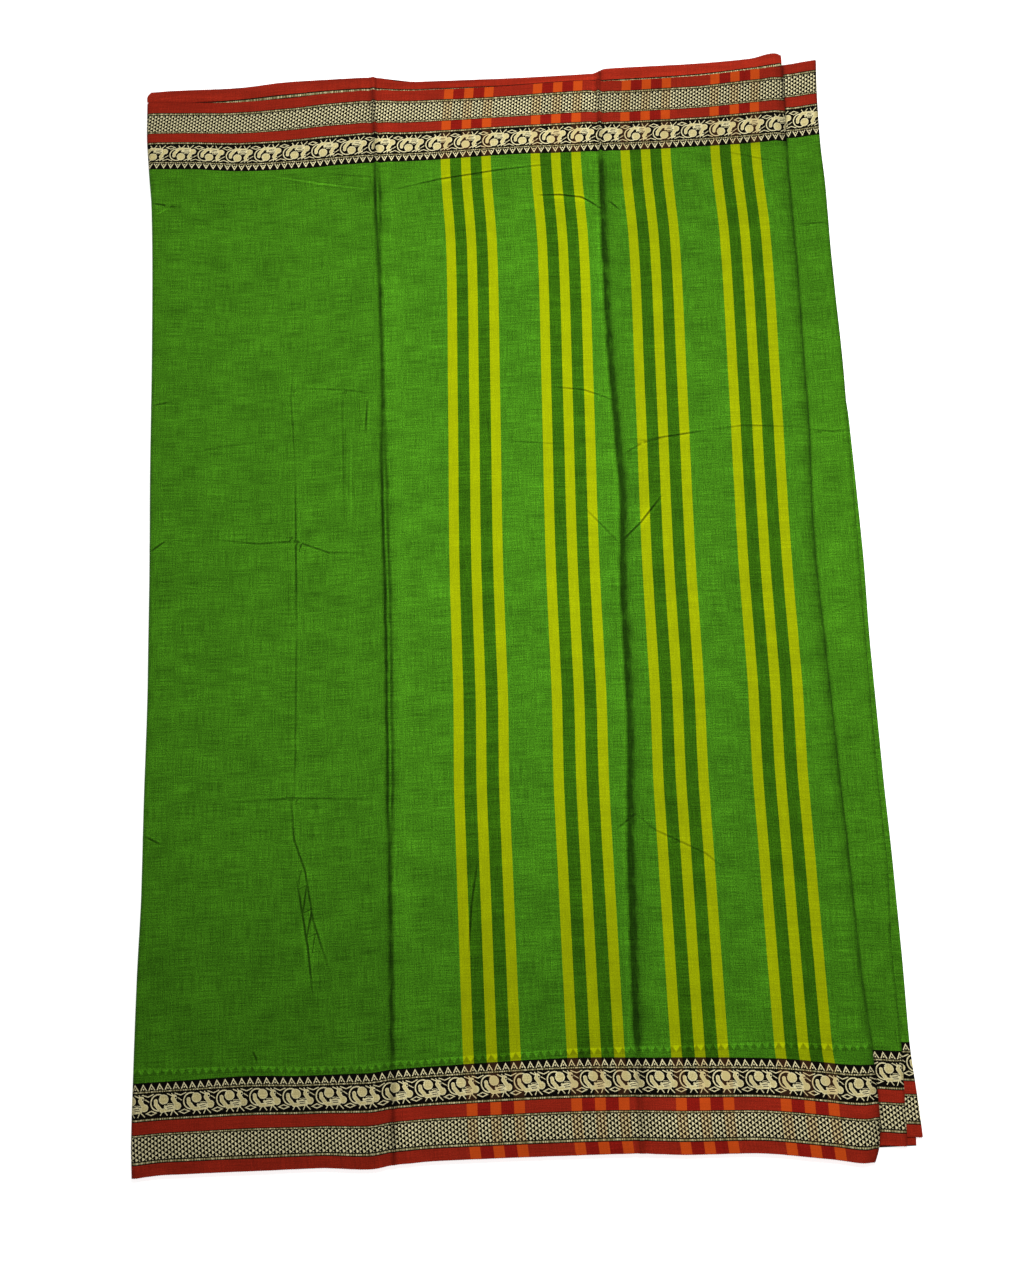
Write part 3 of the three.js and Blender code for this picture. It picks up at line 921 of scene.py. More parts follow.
def layered_solid(name, top, floor, u, v):
    """A closed body between two nets, with layers drawn out round its edge."""
    rows, columns = u.shape
    count = rows * columns
    at = np.arange(count).reshape(rows, columns)
    loop = np.concatenate((at[0, :-1], at[:-1, -1], at[-1, :0:-1], at[:0:-1, 0]))
    flat_top, flat_floor = top.reshape(-1, 3), floor.reshape(-1, 3)
    way = np.roll(flat_top[loop], -1, 0) - np.roll(flat_top[loop], 1, 0)
    outward = np.stack((way[:, 1], -way[:, 0], 0 * way[:, 0]), -1)
    outward = outward / np.linalg.norm(outward, axis=1, keepdims=True)
    points = [flat_top, flat_floor]
    rings = [loop + count]
    source = [np.arange(count), np.arange(count)]
    for height, out in edge_section():
        ring = flat_floor[loop] * (1 - height) + flat_top[loop] * height + outward * out
        rings.append(np.arange(len(loop)) + sum(len(p) for p in points))
        points.append(ring)
        source.append(loop)
    rings.append(loop)
    a, b, c, d = at[:-1, :-1], at[:-1, 1:], at[1:, 1:], at[1:, :-1]
    faces = [np.stack((a, b, c, d), -1).reshape(-1, 4)]
    faces.append(np.stack((a, d, c, b), -1).reshape(-1, 4) + count)
    for low, high in zip(rings, rings[1:]):
        faces.append(np.stack((low, np.roll(low, -1), np.roll(high, -1), high), -1))
    faces = np.concatenate(faces)
    mesh = bpy.data.meshes.new(name)
    mesh.from_pydata(np.concatenate(points).tolist(), [], faces.tolist())
    source = np.concatenate(source)[faces.ravel()]
    weave = np.stack((u.ravel()[source], v.ravel()[source]), -1)
    mesh.uv_layers.new(name="Weave").data.foreach_set("uv", weave.ravel())
    return smooth_piece(name, mesh)


# Materials.


# Kinds of nodes, with their settings.
MATH = "ShaderNodeMath"
VECTOR = "ShaderNodeVectorMath"
PLUS = (MATH, {"operation": "ADD"})
MINUS = (MATH, {"operation": "SUBTRACT"})
TIMES = (MATH, {"operation": "MULTIPLY"})
TIMES_PLUS = (MATH, {"operation": "MULTIPLY_ADD"})
OVER = (MATH, {"operation": "DIVIDE"})
SHARE = (MATH, {"operation": "DIVIDE", "use_clamp": True})
ABOVE = (MATH, {"operation": "GREATER_THAN"})
BELOW = (MATH, {"operation": "LESS_THAN"})
LEAST = (MATH, {"operation": "MINIMUM"})
MOST = (MATH, {"operation": "MAXIMUM"})
SIZE_OF = (MATH, {"operation": "ABSOLUTE"})
FRACTION = (MATH, {"operation": "FRACT"})
NEAREST = (MATH, {"operation": "ROUND"})
SINE = (MATH, {"operation": "SINE"})
MOVED = (VECTOR, {"operation": "ADD"})
APART = (VECTOR, {"operation": "SUBTRACT"})
DIVIDED = (VECTOR, {"operation": "DIVIDE"})
SCALED = (VECTOR, {"operation": "SCALE"})
DOT = (VECTOR, {"operation": "DOT_PRODUCT"})
LENGTH = (VECTOR, {"operation": "LENGTH"})
DISTANCE = (VECTOR, {"operation": "DISTANCE"})
SPLIT = "ShaderNodeSeparateXYZ"
JOIN = "ShaderNodeCombineXYZ"
RAMP = "ShaderNodeMapRange"     # its inputs in order: value, from, to, then what they become
SOFT_RAMP = (RAMP, {"interpolation_type": "SMOOTHSTEP"})
COLOUR_MIX = ("ShaderNodeMix", {"data_type": "RGBA"})
NOISE = "ShaderNodeTexNoise"
FLAT_NOISE = (NOISE, {"noise_dimensions": "2D"})
LINE_NOISE = (NOISE, {"noise_dimensions": "1D"})
FLOAT = "NodeSocketFloat"
WHOLE = "NodeSocketInt"
POINT = "NodeSocketVector"
SHAPE = "NodeSocketGeometry"
FINISH = "NodeSocketMaterial"
MM = 1000.0                     # the border is drawn in millimetres


def node(tree, recipe, inputs=()):
    """Add a node from its kind, or its kind and settings. An input is a value, a socket or a node."""
    kind, settings = (recipe, {}) if isinstance(recipe, str) else recipe
    new = tree.nodes.new(kind)
    for name, value in settings.items():
        setattr(new, name, value)
    for key, value in inputs.items() if isinstance(inputs, dict) else enumerate(inputs):
        socket = new.inputs[key] if isinstance(key, int) else next(
            s for s in new.inputs if key in (s.identifier, s.name) and s.enabled)
        if isinstance(value, bpy.types.Node):
            value = next(s for s in value.outputs if s.enabled)
        if isinstance(value, bpy.types.NodeSocket):
            tree.links.new(value, socket)
        else:
            socket.default_value = value
    return new


def chain(tree, value, *steps):
    """Send a value through nodes in a row. A step is a node's recipe, then its other inputs."""
    for recipe, *others in steps:
        value = node(tree, recipe, [value, *others])
    return value


def new_group(name, inputs, outputs, kind="ShaderNodeTree"):
    """An empty node group. A socket is given by its kind, or by the number that it starts from."""
    tree = bpy.data.node_groups.new(name, kind)
    for way, sockets in (("INPUT", inputs), ("OUTPUT", outputs)):
        for label, given in sockets.items():
            start = None if isinstance(given, str) else given
            own_kind = given if start is None else WHOLE if isinstance(start, int) else FLOAT
            socket = tree.interface.new_socket(label, in_out=way, socket_type=own_kind)
            if start is not None:
                socket.default_value = start
    return tree, tree.nodes.new("NodeGroupInput").outputs[:len(inputs)]


def end_group(tree, *results):
    """Link the results to the group's outputs."""
    out = tree.nodes.new("NodeGroupOutput")
    for result, socket in zip(results, out.inputs):
        tree.links.new(result.outputs[0], socket)
    return tree


def stroke_group():
    """Distance from a straight stroke with round ends."""
    tree, (place, start, end, half) = new_group(
        "Stroke", {"Place": POINT, "From": POINT, "To": POINT, "Half width": 1.0}, {"Distance": FLOAT})
    from_start = node(tree, APART, [place, start])
    way = node(tree, APART, [end, start])
    reach = node(tree, DOT, [from_start, way])
    length = node(tree, DOT, [way, way])
    part = node(tree, SHARE, [reach, length])
    foot = node(tree, SCALED, {"Vector": way, "Scale": part})
    return end_group(tree, chain(tree, from_start, (DISTANCE, foot), (MINUS, half)))


def oval_group():
    """Distance from an oval of two half sizes."""
    tree, (place, centre, half, reach) = new_group(
        "Oval", {"Place": POINT, "Centre": POINT, "Half size": POINT, "Reach": 1.0}, {"Distance": FLOAT})
    return end_group(tree, chain(
        tree, place, (APART, centre), (DIVIDED, half), (LENGTH,), (MINUS, 1.0), (TIMES, reach)))


def arc_group():
    """Distance from an arc that is open on its right."""
    tree, (place, centre, radius, half, opening) = new_group(
        "Open arc", {"Place": POINT, "Centre": POINT, "Radius": 1.0, "Half width": 1.0, "Open past": 0.0},
        {"Distance": FLOAT})
    from_centre = node(tree, APART, [place, centre])
    off = chain(tree, from_centre, (LENGTH,), (MINUS, radius), (SIZE_OF,), (MINUS, half))
    split = node(tree, SPLIT, [from_centre])
    past = node(tree, MINUS, [split.outputs[0], opening])
    return end_group(tree, node(tree, MOST, [off, past]))


# The bird band, charted in millimetres: x along from the tail, y from the feet's line.
TAIL = ((8.8, 13.7), 7.6, 0.7, 3.5)         # centre, radius, half width, open past
BIRD_STROKES = (                # from, to, half width
    ((5.9, 15.4), (6.1, 12.1), 1.9),        # inner crescent of the tail
    ((6.1, 12.1), (10.0, 7.3), 2.0),
    ((11.5, 5.9), (23.2, 6.9), 1.9),        # body
    ((26.1, 10.7), (22.7, 16.4), 2.1),      # neck
    ((27.6, 17.3), (31.2, 14.9), 0.5),      # beak
    ((17.8, 21.6), (22.2, 19.4), 0.6),      # crest
    ((22.0, 21.6), (22.9, 19.7), 0.6),
    ((12.4, 4.5), (10.7, 1.7), 0.55),       # legs
    ((14.9, 4.5), (17.3, 1.4), 0.55),
    ((22.2, 5.0), (20.7, 1.4), 0.55),
    ((23.7, 5.0), (27.3, 1.4), 0.55),
)
BIRD_OVALS = (                  # centre, half sizes
    ((13.7, 16.4), (4.8, 4.8)),             # coiled end of the tail
    ((19.3, 9.5), (5.6, 3.0)),              # wing
    ((27.1, 9.5), (3.6, 3.6)),              # chest
    ((24.1, 18.0), (2.7, 2.7)),             # head
)
BIRD_LINES = (                  # dark lines over the bird
    ((8.5, 13.9), (12.4, 9.8), 0.60),       # between coil and crescent
    ((12.6, 11.2), (16.4, 11.6), 0.45),     # under the coil
    ((15.6, 10.6), (19.4, 11.6), 0.30),     # along the wing
    ((19.4, 11.6), (23.6, 10.6), 0.30),
    ((16.8, 8.7), (21.8, 9.3), 0.26),       # feathers
    ((17.6, 7.1), (22.4, 7.4), 0.26),
)
BIRD_SPOTS = (
    ((25.4, 17.5), (0.75, 0.75)),           # eye
    ((8.3, 18.2), (1.3, 0.8)),              # drop inside the tail
)
LEAF = ((1.8, 4.2), (6.1, 2.6), 1.05)       # centre, half sizes, how broad its line is
LEAF_SLANT = 0.88               # its edge's distance against its rise
CHEVRON = (30.5, 19.7, 5.3, 21.8, 0.55)     # middle, its height, half span, end height, half width
FIGURE_EDGE = (0.02, -0.30)     # distances between which a figure comes in
FILL_EDGE = (-0.5, -1.1)        # and its dull middle


def wrapped(tree, value, centre, repeat):
    """A coordinate about a motif's own centre, from minus to plus half a repeat."""
    from_centre = node(tree, MINUS, [value, centre])
    whole = chain(tree, from_centre, (OVER, repeat), (NEAREST,), (TIMES, repeat))
    return node(tree, MINUS, [from_centre, whole])


def nearest_of(tree, first, *others):
    """The smallest of several distances."""
    return chain(tree, first, *((LEAST, other) for other in others))


def bird_group(stroke, oval, arc):
    """The bird band: 1 where zari shows, 0 on the ground."""
    tree, (along, up, repeat) = new_group(
        "Bird band", {"Along": 0.0, "Up": 0.0, "Repeat": 31.9}, {"Zari": FLOAT, "Fill": FLOAT})
    x = chain(tree, along, (OVER, repeat), (FRACTION,), (TIMES, repeat))
    place = node(tree, JOIN, [x, up])

    stroke, oval, arc = [("ShaderNodeGroup", {"node_tree": part}) for part in (stroke, oval, arc)]

    def figures(strokes, ovals):
        return [node(tree, stroke, [place, (*start, 0), (*end, 0), half])
                for start, end, half in strokes] + [
            node(tree, oval, [place, (*centre, 0), (*half, 1), min(half)]) for centre, half in ovals]

    tail_centre, radius, half, opening = TAIL
    tail = node(tree, arc, [place, (*tail_centre, 0), radius, half, opening])
    bird = nearest_of(tree, *figures(BIRD_STROKES, BIRD_OVALS), tail)
    dark = nearest_of(tree, *figures(BIRD_LINES, BIRD_SPOTS))
    bird = node(tree, MOST, [bird, chain(tree, dark, (TIMES, -1.0))])

    (leaf_x, leaf_y), (leaf_long, leaf_high), leaf_line = LEAF
    across = chain(tree, wrapped(tree, x, leaf_x, repeat), (SIZE_OF,), (OVER, leaf_long))
    rise = chain(tree, up, (MINUS, leaf_y), (SIZE_OF,), (OVER, leaf_high))
    ring = chain(tree, across, (PLUS, rise), (MINUS, 1.0), (TIMES, leaf_high * LEAF_SLANT),
                 (PLUS, leaf_line / 2), (SIZE_OF,), (MINUS, leaf_line / 2))

    middle, low, span, high, half = CHEVRON
    beside = chain(tree, wrapped(tree, x, middle, repeat), (SIZE_OF,), (JOIN, up))
    chevron = node(tree, stroke, [beside, (0, low, 0), (span, high, 0), half])
    nearest = nearest_of(tree, bird, ring, chevron)
    zari, fill = [node(tree, RAMP, [nearest, *edge]) for edge in (FIGURE_EDGE, FILL_EDGE)]
    return end_group(tree, zari, fill)


def band_group():
    """1 between two depths, 0 outside."""
    tree, (depth, start, end) = new_group(
        "Band", {"Depth": 0.0, "From": 0.0, "To": 1.0}, {"Inside": FLOAT})
    before = node(tree, BELOW, [depth, end])
    return end_group(tree, chain(tree, depth, (ABOVE, start), (TIMES, before)))


# The border from the selvedge in, in millimetres.
RED_BANDS = ((0.0, 11.2), (39.6, 51.0))
DOTTED_LINES = ((11.5, 14.6), (37.2, 39.3), (51.3, 54.0), (77.5, 79.7))
CHECK_BAND = (15.1, 36.8)
CHECK_REPEAT = 6.4
CHECK_ROW = 2.28
BIRD_BAND = (54.3, 77.2)
TEMPLE_BAND = (80.0, 86.3)
BORDER_EDGE = 87.6
BIRD_PHASE = -40.0              # where a bird's tail starts, along the cloth
TEMPLE_PHASE = 2.9              # a temple's tip past it
DASH_PITCH = 2.3
SHOW_THROUGH_REACH = 0.024      # how far in from the border the one below shows through
SHOW_THROUGH_HALF = 3.0         # half height of its temple row
SHOW_THROUGH_BEND = (85.0, 4.3, 6.8e-5)     # the row's lowest place, its height there, its bend
CHECK_ZARI = (-0.035, 0.0)      # where the zari half of a check's figure begins
CHECK_GAP = (0.40, 0.46)        # and the gap between figures


def check_nodes(tree, along, depth):
    """Staggered diamonds, each half zari and half black. Gives zari and the fine mix between."""
    x = node(tree, OVER, [along, CHECK_REPEAT])
    y = chain(tree, depth, (MINUS, CHECK_BAND[0] + 0.6 * CHECK_ROW), (OVER, 2 * CHECK_ROW))
    offsets = []
    for way in (PLUS, MINUS):
        slanted = node(tree, way, [x, y])
        offsets.append(node(tree, MINUS, [slanted, chain(tree, slanted, (NEAREST,))]))
    edges = [node(tree, SIZE_OF, [offset]) for offset in offsets]
    zari = chain(tree, node(tree, PLUS, offsets), (RAMP, *CHECK_ZARI))
    return zari, chain(tree, node(tree, MOST, edges), (RAMP, *CHECK_GAP))


TEMPLE_HALF = 3.4               # half the width of a temple at its foot, and its height
TEMPLE_HEIGHT = 6.4
TEMPLE_LINE = (0.52, 0.65, 0.42)            # its outline: how far in, and from where to where it fades
TEMPLE_SPOT = (1.4, 0.85, 0.55)             # the dot at its foot: the same


def temple_nodes(tree, along, depth, repeat):
    """A row of temple points: an outlined triangle with a dot at its foot. Gives the lines, and
    the fine mix within them."""
    quarter = node(tree, TIMES, [repeat, 0.25])
    beside = chain(tree, wrapped(tree, along, TEMPLE_PHASE, quarter), (SIZE_OF,))
    rise = node(tree, MINUS, [depth, TEMPLE_BAND[0]])
    drop = node(tree, TIMES, [rise, TEMPLE_HALF / TEMPLE_HEIGHT])
    edge = chain(tree, beside, (PLUS, drop), (MINUS, TEMPLE_HALF))
    inset, *line_fade = TEMPLE_LINE
    line = chain(tree, edge, (PLUS, inset), (SIZE_OF,), (RAMP, *line_fade))
    height, *spot_fade = TEMPLE_SPOT
    lift = node(tree, MINUS, [rise, height])
    spot = chain(tree, beside, (JOIN, lift), (LENGTH,), (RAMP, *spot_fade))
    return node(tree, MOST, [line, spot]), node(tree, BELOW, [edge, -0.5])


FIRST_GROUP = -25.9             # middle of the first group of stripes, along the cloth
STRIPE_GROUPS = 4
STRIPE_BLUR = 0.25


def stripes_group():
    """1 on a yellow stripe, and 1 between the stripes of a group."""
    tree, (along, present) = new_group(
        "Stripes", {"Along": 0.0, "Present": 1.0}, {"Stripe": FLOAT, "Between": FLOAT})
    own = sizes()
    group, pitch, half = own.group_pitch * MM, own.stripe_pitch * MM, own.stripe * MM / 2
    # The groups' middles lie a whole number of pitches from this one.
    centred = wrapped(tree, along, FIRST_GROUP, group)
    on = chain(tree, wrapped(tree, centred, 0.0, pitch), (SIZE_OF,),
               (RAMP, half + STRIPE_BLUR, half - STRIPE_BLUR))
    reach = node(tree, SIZE_OF, [centred])
    inside = node(tree, BELOW, [reach, pitch * 1.5])
    last = node(tree, BELOW, [along, FIRST_GROUP + (STRIPE_GROUPS - 0.5) * group])
    there = chain(tree, along, (ABOVE, FIRST_GROUP - group / 2), (TIMES, last), (TIMES, present))
    on = chain(tree, on, (TIMES, inside), (TIMES, there))
    off = node(tree, MINUS, [1.0, on])
    return end_group(tree, on, chain(tree, reach, (BELOW, pitch), (TIMES, off), (TIMES, there)))


# Unevenness of the yarns: size along and across in millimetres, detail, and where its noise starts.
STREAKS = {
    "weft": ((1.0, 24.0, 1.0), 0.0, 3.0),
    "warp": ((26.0, 0.95, 1.0), 0.0, 11.0),
    "grain": ((1.15, 1.05, 1.0), 0.0, 51.0),
    "slub": ((15.0, 0.9, 1.0), 0.0, 23.0),
    "mottle": ((46.0, 26.0, 1.0), 2.0, 37.0),
}
STREAK_TONES = {"warp": 0.70, "grain": 1.25, "mottle": 0.62}
WEFT_TONE = (0.56, 0.72)        # by how much the weft's streaks count, and from what tone
HEAVY_TONE = 0.14
HEAVY_YARNS = (0.66, 0.80)      # how strong a slub is where a heavy yarn begins
STREAK_HEIGHTS = {"weft": 0.16, "warp": 0.22, "grain": 0.10, "slub": 0.10}
YARN_HEIGHT = 0.05


def weave_group():
    """Hand-loom cotton: its uneven yarns as a tone about 1 and as a height in millimetres."""
    tree, (place,) = new_group("Hand-loom weave", {"Place": POINT}, {"Tone": FLOAT, "Height": FLOAT})
    pitch = sizes().yarn_pitch * MM
    streaks = {}
    for name, (size, detail, seed) in STREAKS.items():
        moved = chain(tree, place, (DIVIDED, size), (MOVED, (seed, seed * 0.7, 0)))
        streaks[name] = node(tree, FLAT_NOISE, {
            "Vector": moved, "Scale": 1.0, "Detail": detail, "Roughness": 0.6})
    streaks["slub"] = node(tree, RAMP, [streaks["slub"], *HEAVY_YARNS])
    tone = node(tree, TIMES_PLUS, [streaks["weft"], *WEFT_TONE])
    for name, amount in STREAK_TONES.items():
        part = node(tree, TIMES_PLUS, [streaks[name], amount, 1 - amount / 2])
        tone = node(tree, TIMES, [tone, part])
    tone = node(tree, TIMES_PLUS, [streaks["slub"], HEAVY_TONE, tone])
    split = node(tree, SPLIT, [place])
    waves = [chain(tree, split.outputs[axis], (TIMES, math.pi / pitch), (SINE,)) for axis in (0, 1)]
    height = chain(tree, node(tree, TIMES, waves), (TIMES, YARN_HEIGHT))
    for name, amount in STREAK_HEIGHTS.items():
        height = node(tree, TIMES_PLUS, [streaks[name], amount, height])
    return end_group(tree, tone, height)


SHOWN_PHASE = 1.2
SHOWN_SLOPE = (2.7, 1.3, -0.26, 0.50)       # the teeth's edge, and the tones between and on them
SHOWN_DARK = -0.06              # the tone below the row


def show_through_group():
    """The border that lies beneath the lower edge of the top stretch: its temple row shows
    through, lighter where its points are."""
    tree, (along, across) = new_group("Show-through", {"Along": 0.0, "Across": 0.0}, {"Tone": FLOAT})
    lowest, height, bend = SHOW_THROUGH_BEND
    offset = node(tree, PLUS, [along, lowest])
    centre = chain(tree, offset, (TIMES, offset), (TIMES_PLUS, bend, height + BORDER_EDGE))
    rise = node(tree, MINUS, [across, centre])
    beside = chain(tree, wrapped(tree, along, SHOWN_PHASE, sizes().bird_repeat * MM / 4), (SIZE_OF,))
    inside = chain(tree, rise, (SIZE_OF,), (RAMP, SHOW_THROUGH_HALF + 0.7, SHOW_THROUGH_HALF - 0.5))
    # Below the row the dark ground of the hidden border shows a little.
    under = node(tree, RAMP, [rise, 1.0 - SHOW_THROUGH_HALF, -2.0 - SHOW_THROUGH_HALF, 0.0, SHOWN_DARK])
    field = node(tree, ABOVE, [across, BORDER_EDGE])
    near = node(tree, BELOW, [across, BORDER_EDGE + SHOW_THROUGH_REACH * MM])
    return end_group(tree, chain(
        tree, rise, (TIMES_PLUS, -2.0 / SHOW_THROUGH_HALF, beside), (RAMP, *SHOWN_SLOPE),
        (TIMES, inside), (PLUS, under), (TIMES, field), (TIMES, near)))


def new_material(name):
    """A material without nodes yet."""
    material = bpy.data.materials.new(name)
    material.use_nodes = True
    material.node_tree.nodes.clear()
    return material, material.node_tree


def cloth_end(tree, colour, roughness, height, bump):
    """Dyed cotton's surface: matte with a faint nap."""
    relief = node(tree, "ShaderNodeBump", {"Strength": bump, "Distance": 0.001, "Height": height})
    surface = node(tree, "ShaderNodeBsdfPrincipled", {
        "Base Color": colour, "Roughness": roughness, "IOR": 1.46, "Specular IOR Level": 0.06,
        "Sheen Weight": 0.02, "Sheen Roughness": 0.45, "Normal": relief})
    node(tree, "ShaderNodeOutputMaterial", [surface])


LINE_FADE = (2.6 * PAINTED_LINE_HALF * MM, 0.4 * PAINTED_LINE_HALF * MM)      # the edge of a wrinkle's painted shade line
GLOW_FADE = (9 * PAINTED_LINE_HALF * MM, PAINTED_LINE_HALF * MM)  # and of the painted highlight beside it
GLOW = -0.24
LINE_STRENGTH = 1.70
CRINKLE_SIZE = (5.0, 13.0, 1.0)             # unevenness of the painted shade, in millimetres
CRINKLE_RANGE = (0.9, 0.55)
LEAST_LIGHT = 0.26
STRIPE_CALM = -0.62
BORDER_CALM = -0.50


def ground_nodes(tree, groups, place, striped):
    """The plain cloth: green with its stripes, the weave's tone, and the light left after painted shade and
    highlights.
    """
    own = colours()
    split = node(tree, SPLIT, [place])
    stripes = node(tree, groups["stripes"], [split.outputs[0], striped])
    weave = node(tree, groups["weave"], [place])
    ground = (*own.green, 1.0)
    for cover, tint in ((stripes.outputs[1], own.deep_green), (stripes.outputs[0], own.yellow)):
        ground = node(tree, COLOUR_MIX, {
            "Factor_Float": cover, "A_Color": ground, "B_Color": (*tint, 1.0)})
    # Painted shade from the piece's attributes: at creases and folds, and along each wrinkle's line with a
    # painted highlight beside it.
    dark, distance, depth = [
        node(tree, ("ShaderNodeAttribute", {"attribute_name": name})).outputs["Fac"]
        for name in ("Pressed", "Wrinkle", "Wrinkle depth")]
    away = node(tree, SIZE_OF, [distance])
    line = node(tree, SOFT_RAMP, [away, *LINE_FADE])
    glow = node(tree, SOFT_RAMP, [away, *GLOW_FADE])
    crinkle = node(tree, FLAT_NOISE, {
        "Vector": node(tree, DIVIDED, [place, CRINKLE_SIZE]), "Scale": 1.0, "Detail": 1.0})
    crinkle = node(tree, TIMES_PLUS, [crinkle, *CRINKLE_RANGE])
    dark = chain(tree, glow, (TIMES_PLUS, GLOW, line), (TIMES, LINE_STRENGTH), (TIMES_PLUS, depth, dark),
                 (TIMES, crinkle))
    light = chain(tree, 1.0, (MINUS, dark), (MOST, LEAST_LIGHT))
    # The yellow yarn is smoother, so the weave shows less in its stripes.
    calm = node(tree, TIMES_PLUS, [stripes, STRIPE_CALM, 1.0])
    uneven = chain(tree, weave, (MINUS, 1.0), (TIMES_PLUS, calm, 1.0))
    return split, stripes, weave, ground, uneven, light


COTTON_ROUGHNESS = 0.88
BUMP = 0.35


# Hand-loom cotton, yarn dyed: plain weave, so it is matte, with uneven yarns as fine streaks
# both ways. The real yarns lie 0.35 mm apart, and are drawn about 1 mm broad so that they show.
def field_material(name, groups, striped):
    material, tree, place = cloth_start(name)
    _, _, weave, ground, uneven, light = ground_nodes(tree, groups, place, striped)
    tone = node(tree, TIMES, [uneven, light])
    colour = node(tree, SCALED, {"Vector": ground, "Scale": tone})
    cloth_end(tree, colour, COTTON_ROUGHNESS, weave.outputs[1], BUMP)


def cloth_start(name):
    """A new cloth material with the weave's map in millimetres."""
    material, tree = new_material(name)
    uv = node(tree, ("ShaderNodeUVMap", {"uv_map": "Weave"}))
    return material, tree, node(tree, SCALED, {"Vector": uv, "Scale": MM})


STRIPE_BLACK = 0x3A2415         # the black and the zari where a stripe crosses the border
STRIPE_ZARI = 0xF6DFA2
DEEP = 0x1B180E                 # the dark mix beside the figures
DASH_JITTER = 5.0
DASH_EDGE = (0.48, 0.30)
DASH_STRENGTH = 0.75
CORE_INSET = 0.24               # how much of a dotted line is dark at each side
FILL_STRENGTH = 0.8
ZARI_GLOSS = -0.30              # what zari adds to the roughness, and to the height in millimetres
ZARI_HEIGHT = 0.25


# The same cotton with figures in zari, a thread wound with pale gilt: it is smoother than the
# cotton, stands a little above it and has a soft metallic gloss.
def border_material(name, groups, striped):
    own = colours()
    material, tree, place = cloth_start(name)
    split, stripes, weave, ground, uneven, light = ground_nodes(tree, groups, place, striped)
    u, v = split.outputs[:2]
    along = node(tree, MINUS, [u, BIRD_PHASE])
    far = node(tree, MINUS, [sizes().cloth_width * MM, v])
    depth = node(tree, LEAST, [v, far])

    def band(low, high):
        return node(tree, groups["band"], [depth, low, high])

    # The border is woven closer, so it is more even than the field.
    in_border = band(-1.0, BORDER_EDGE)
    calm = node(tree, TIMES_PLUS, [in_border, BORDER_CALM, 1.0])
    tone = chain(tree, uneven, (MINUS, 1.0), (TIMES_PLUS, calm, 1.0), (TIMES, light))
    if striped:
        shown = chain(tree, node(tree, groups["shown"], [u, v]), (PLUS, 1.0))
        tone = node(tree, TIMES, [tone, shown])

    on, amid = stripes.outputs[:2]
    black, red, zari = [
        node(tree, COLOUR_MIX, {
            "Factor_Float": cover, "A_Color": (*plain, 1.0), "B_Color": (*tint, 1.0)})
        for cover, plain, tint in (
            (on, own.black, linear(STRIPE_BLACK)), (amid, own.red, own.crimson),
            (on, own.zari, linear(STRIPE_ZARI)))]
    red = node(tree, COLOUR_MIX, {"Factor_Float": on, "A_Color": red, "B_Color": (*own.orange, 1.0)})

    repeat = sizes().bird_repeat * MM
    rise = node(tree, MINUS, [depth, BIRD_BAND[0]])
    birds = node(tree, groups["birds"], [along, rise, repeat])
    drawn = []
    for pair, edges in ((birds.outputs[:2], BIRD_BAND), (check_nodes(tree, along, depth), CHECK_BAND),
                        (temple_nodes(tree, along, depth, repeat), TEMPLE_BAND)):
        inside = band(*edges)
        drawn.append([node(tree, TIMES, [part, inside]) for part in pair])
    (figures, fill), (check, fine), (temples, within) = drawn

    # The dotted lines: short zari stitches on a darker mix, at uneven places.
    jitter = node(tree, LINE_NOISE, {"W": along, "Scale": 0.35, "Detail": 1.0})
    shifted = node(tree, TIMES_PLUS, [jitter, DASH_JITTER, along])
    dash = chain(tree, wrapped(tree, shifted, 0.0, DASH_PITCH), (SIZE_OF,), (RAMP, *DASH_EDGE))
    insets = [(low, high, (high - low) * CORE_INSET) for low, high in DOTTED_LINES]
    line, *lines = [band(low, high) for low, high, _ in insets]
    core, *cores = [band(low + inset, high - inset) for low, high, inset in insets]
    line = chain(tree, line, *((PLUS, other) for other in lines))
    core = chain(tree, core, *((PLUS, other) for other in cores))
    dashes = chain(tree, dash, (TIMES, core), (TIMES, DASH_STRENGTH))

    clear = chain(tree, check, (MINUS, fine), (MOST, 0.0))
    figure = chain(tree, figures, (MOST, temples), (MOST, clear), (MOST, dashes))
    fill = node(tree, TIMES, [fill, FILL_STRENGTH])
    deep = (*linear(DEEP), 1.0)
    layers = [(in_border, black), *((band(*edges), red) for edges in RED_BANDS), (line, deep)]
    layers += [(core, (*own.olive, 1.0)), (fine, deep), (within, deep), (figure, zari)]
    layers += [(fill, (*own.dull_zari, 1.0))]
    colour = ground
    for cover, tint in layers:
        colour = node(tree, COLOUR_MIX, {"Factor_Float": cover, "A_Color": colour, "B_Color": tint})
    colour = node(tree, SCALED, {"Vector": colour, "Scale": tone})
    roughness = node(tree, TIMES_PLUS, [figure, ZARI_GLOSS, COTTON_ROUGHNESS])
    height = node(tree, TIMES_PLUS, [figure, ZARI_HEIGHT, weave.outputs[1]])
    cloth_end(tree, colour, roughness, height, BUMP)


# Doubled cotton yarn at the selvedge, dyed red: matte, a little uneven along its length.
def yarn_material():
    name = "Red cotton selvedge yarn"
    if name in bpy.data.materials:
        return bpy.data.materials[name]
    material, tree = new_material(name)
    place = node(tree, "ShaderNodeTexCoord").outputs["Object"]
    uneven = node(tree, NOISE, {"Vector": place, "Scale": 400.0})
    tone = node(tree, TIMES_PLUS, [uneven, 0.5, 0.65])
    colour = node(tree, SCALED, {"Vector": tuple(colours().red), "Scale": tone})
    cloth_end(tree, colour, 0.9, uneven, 0.2)
    return material


GROUPS = {}


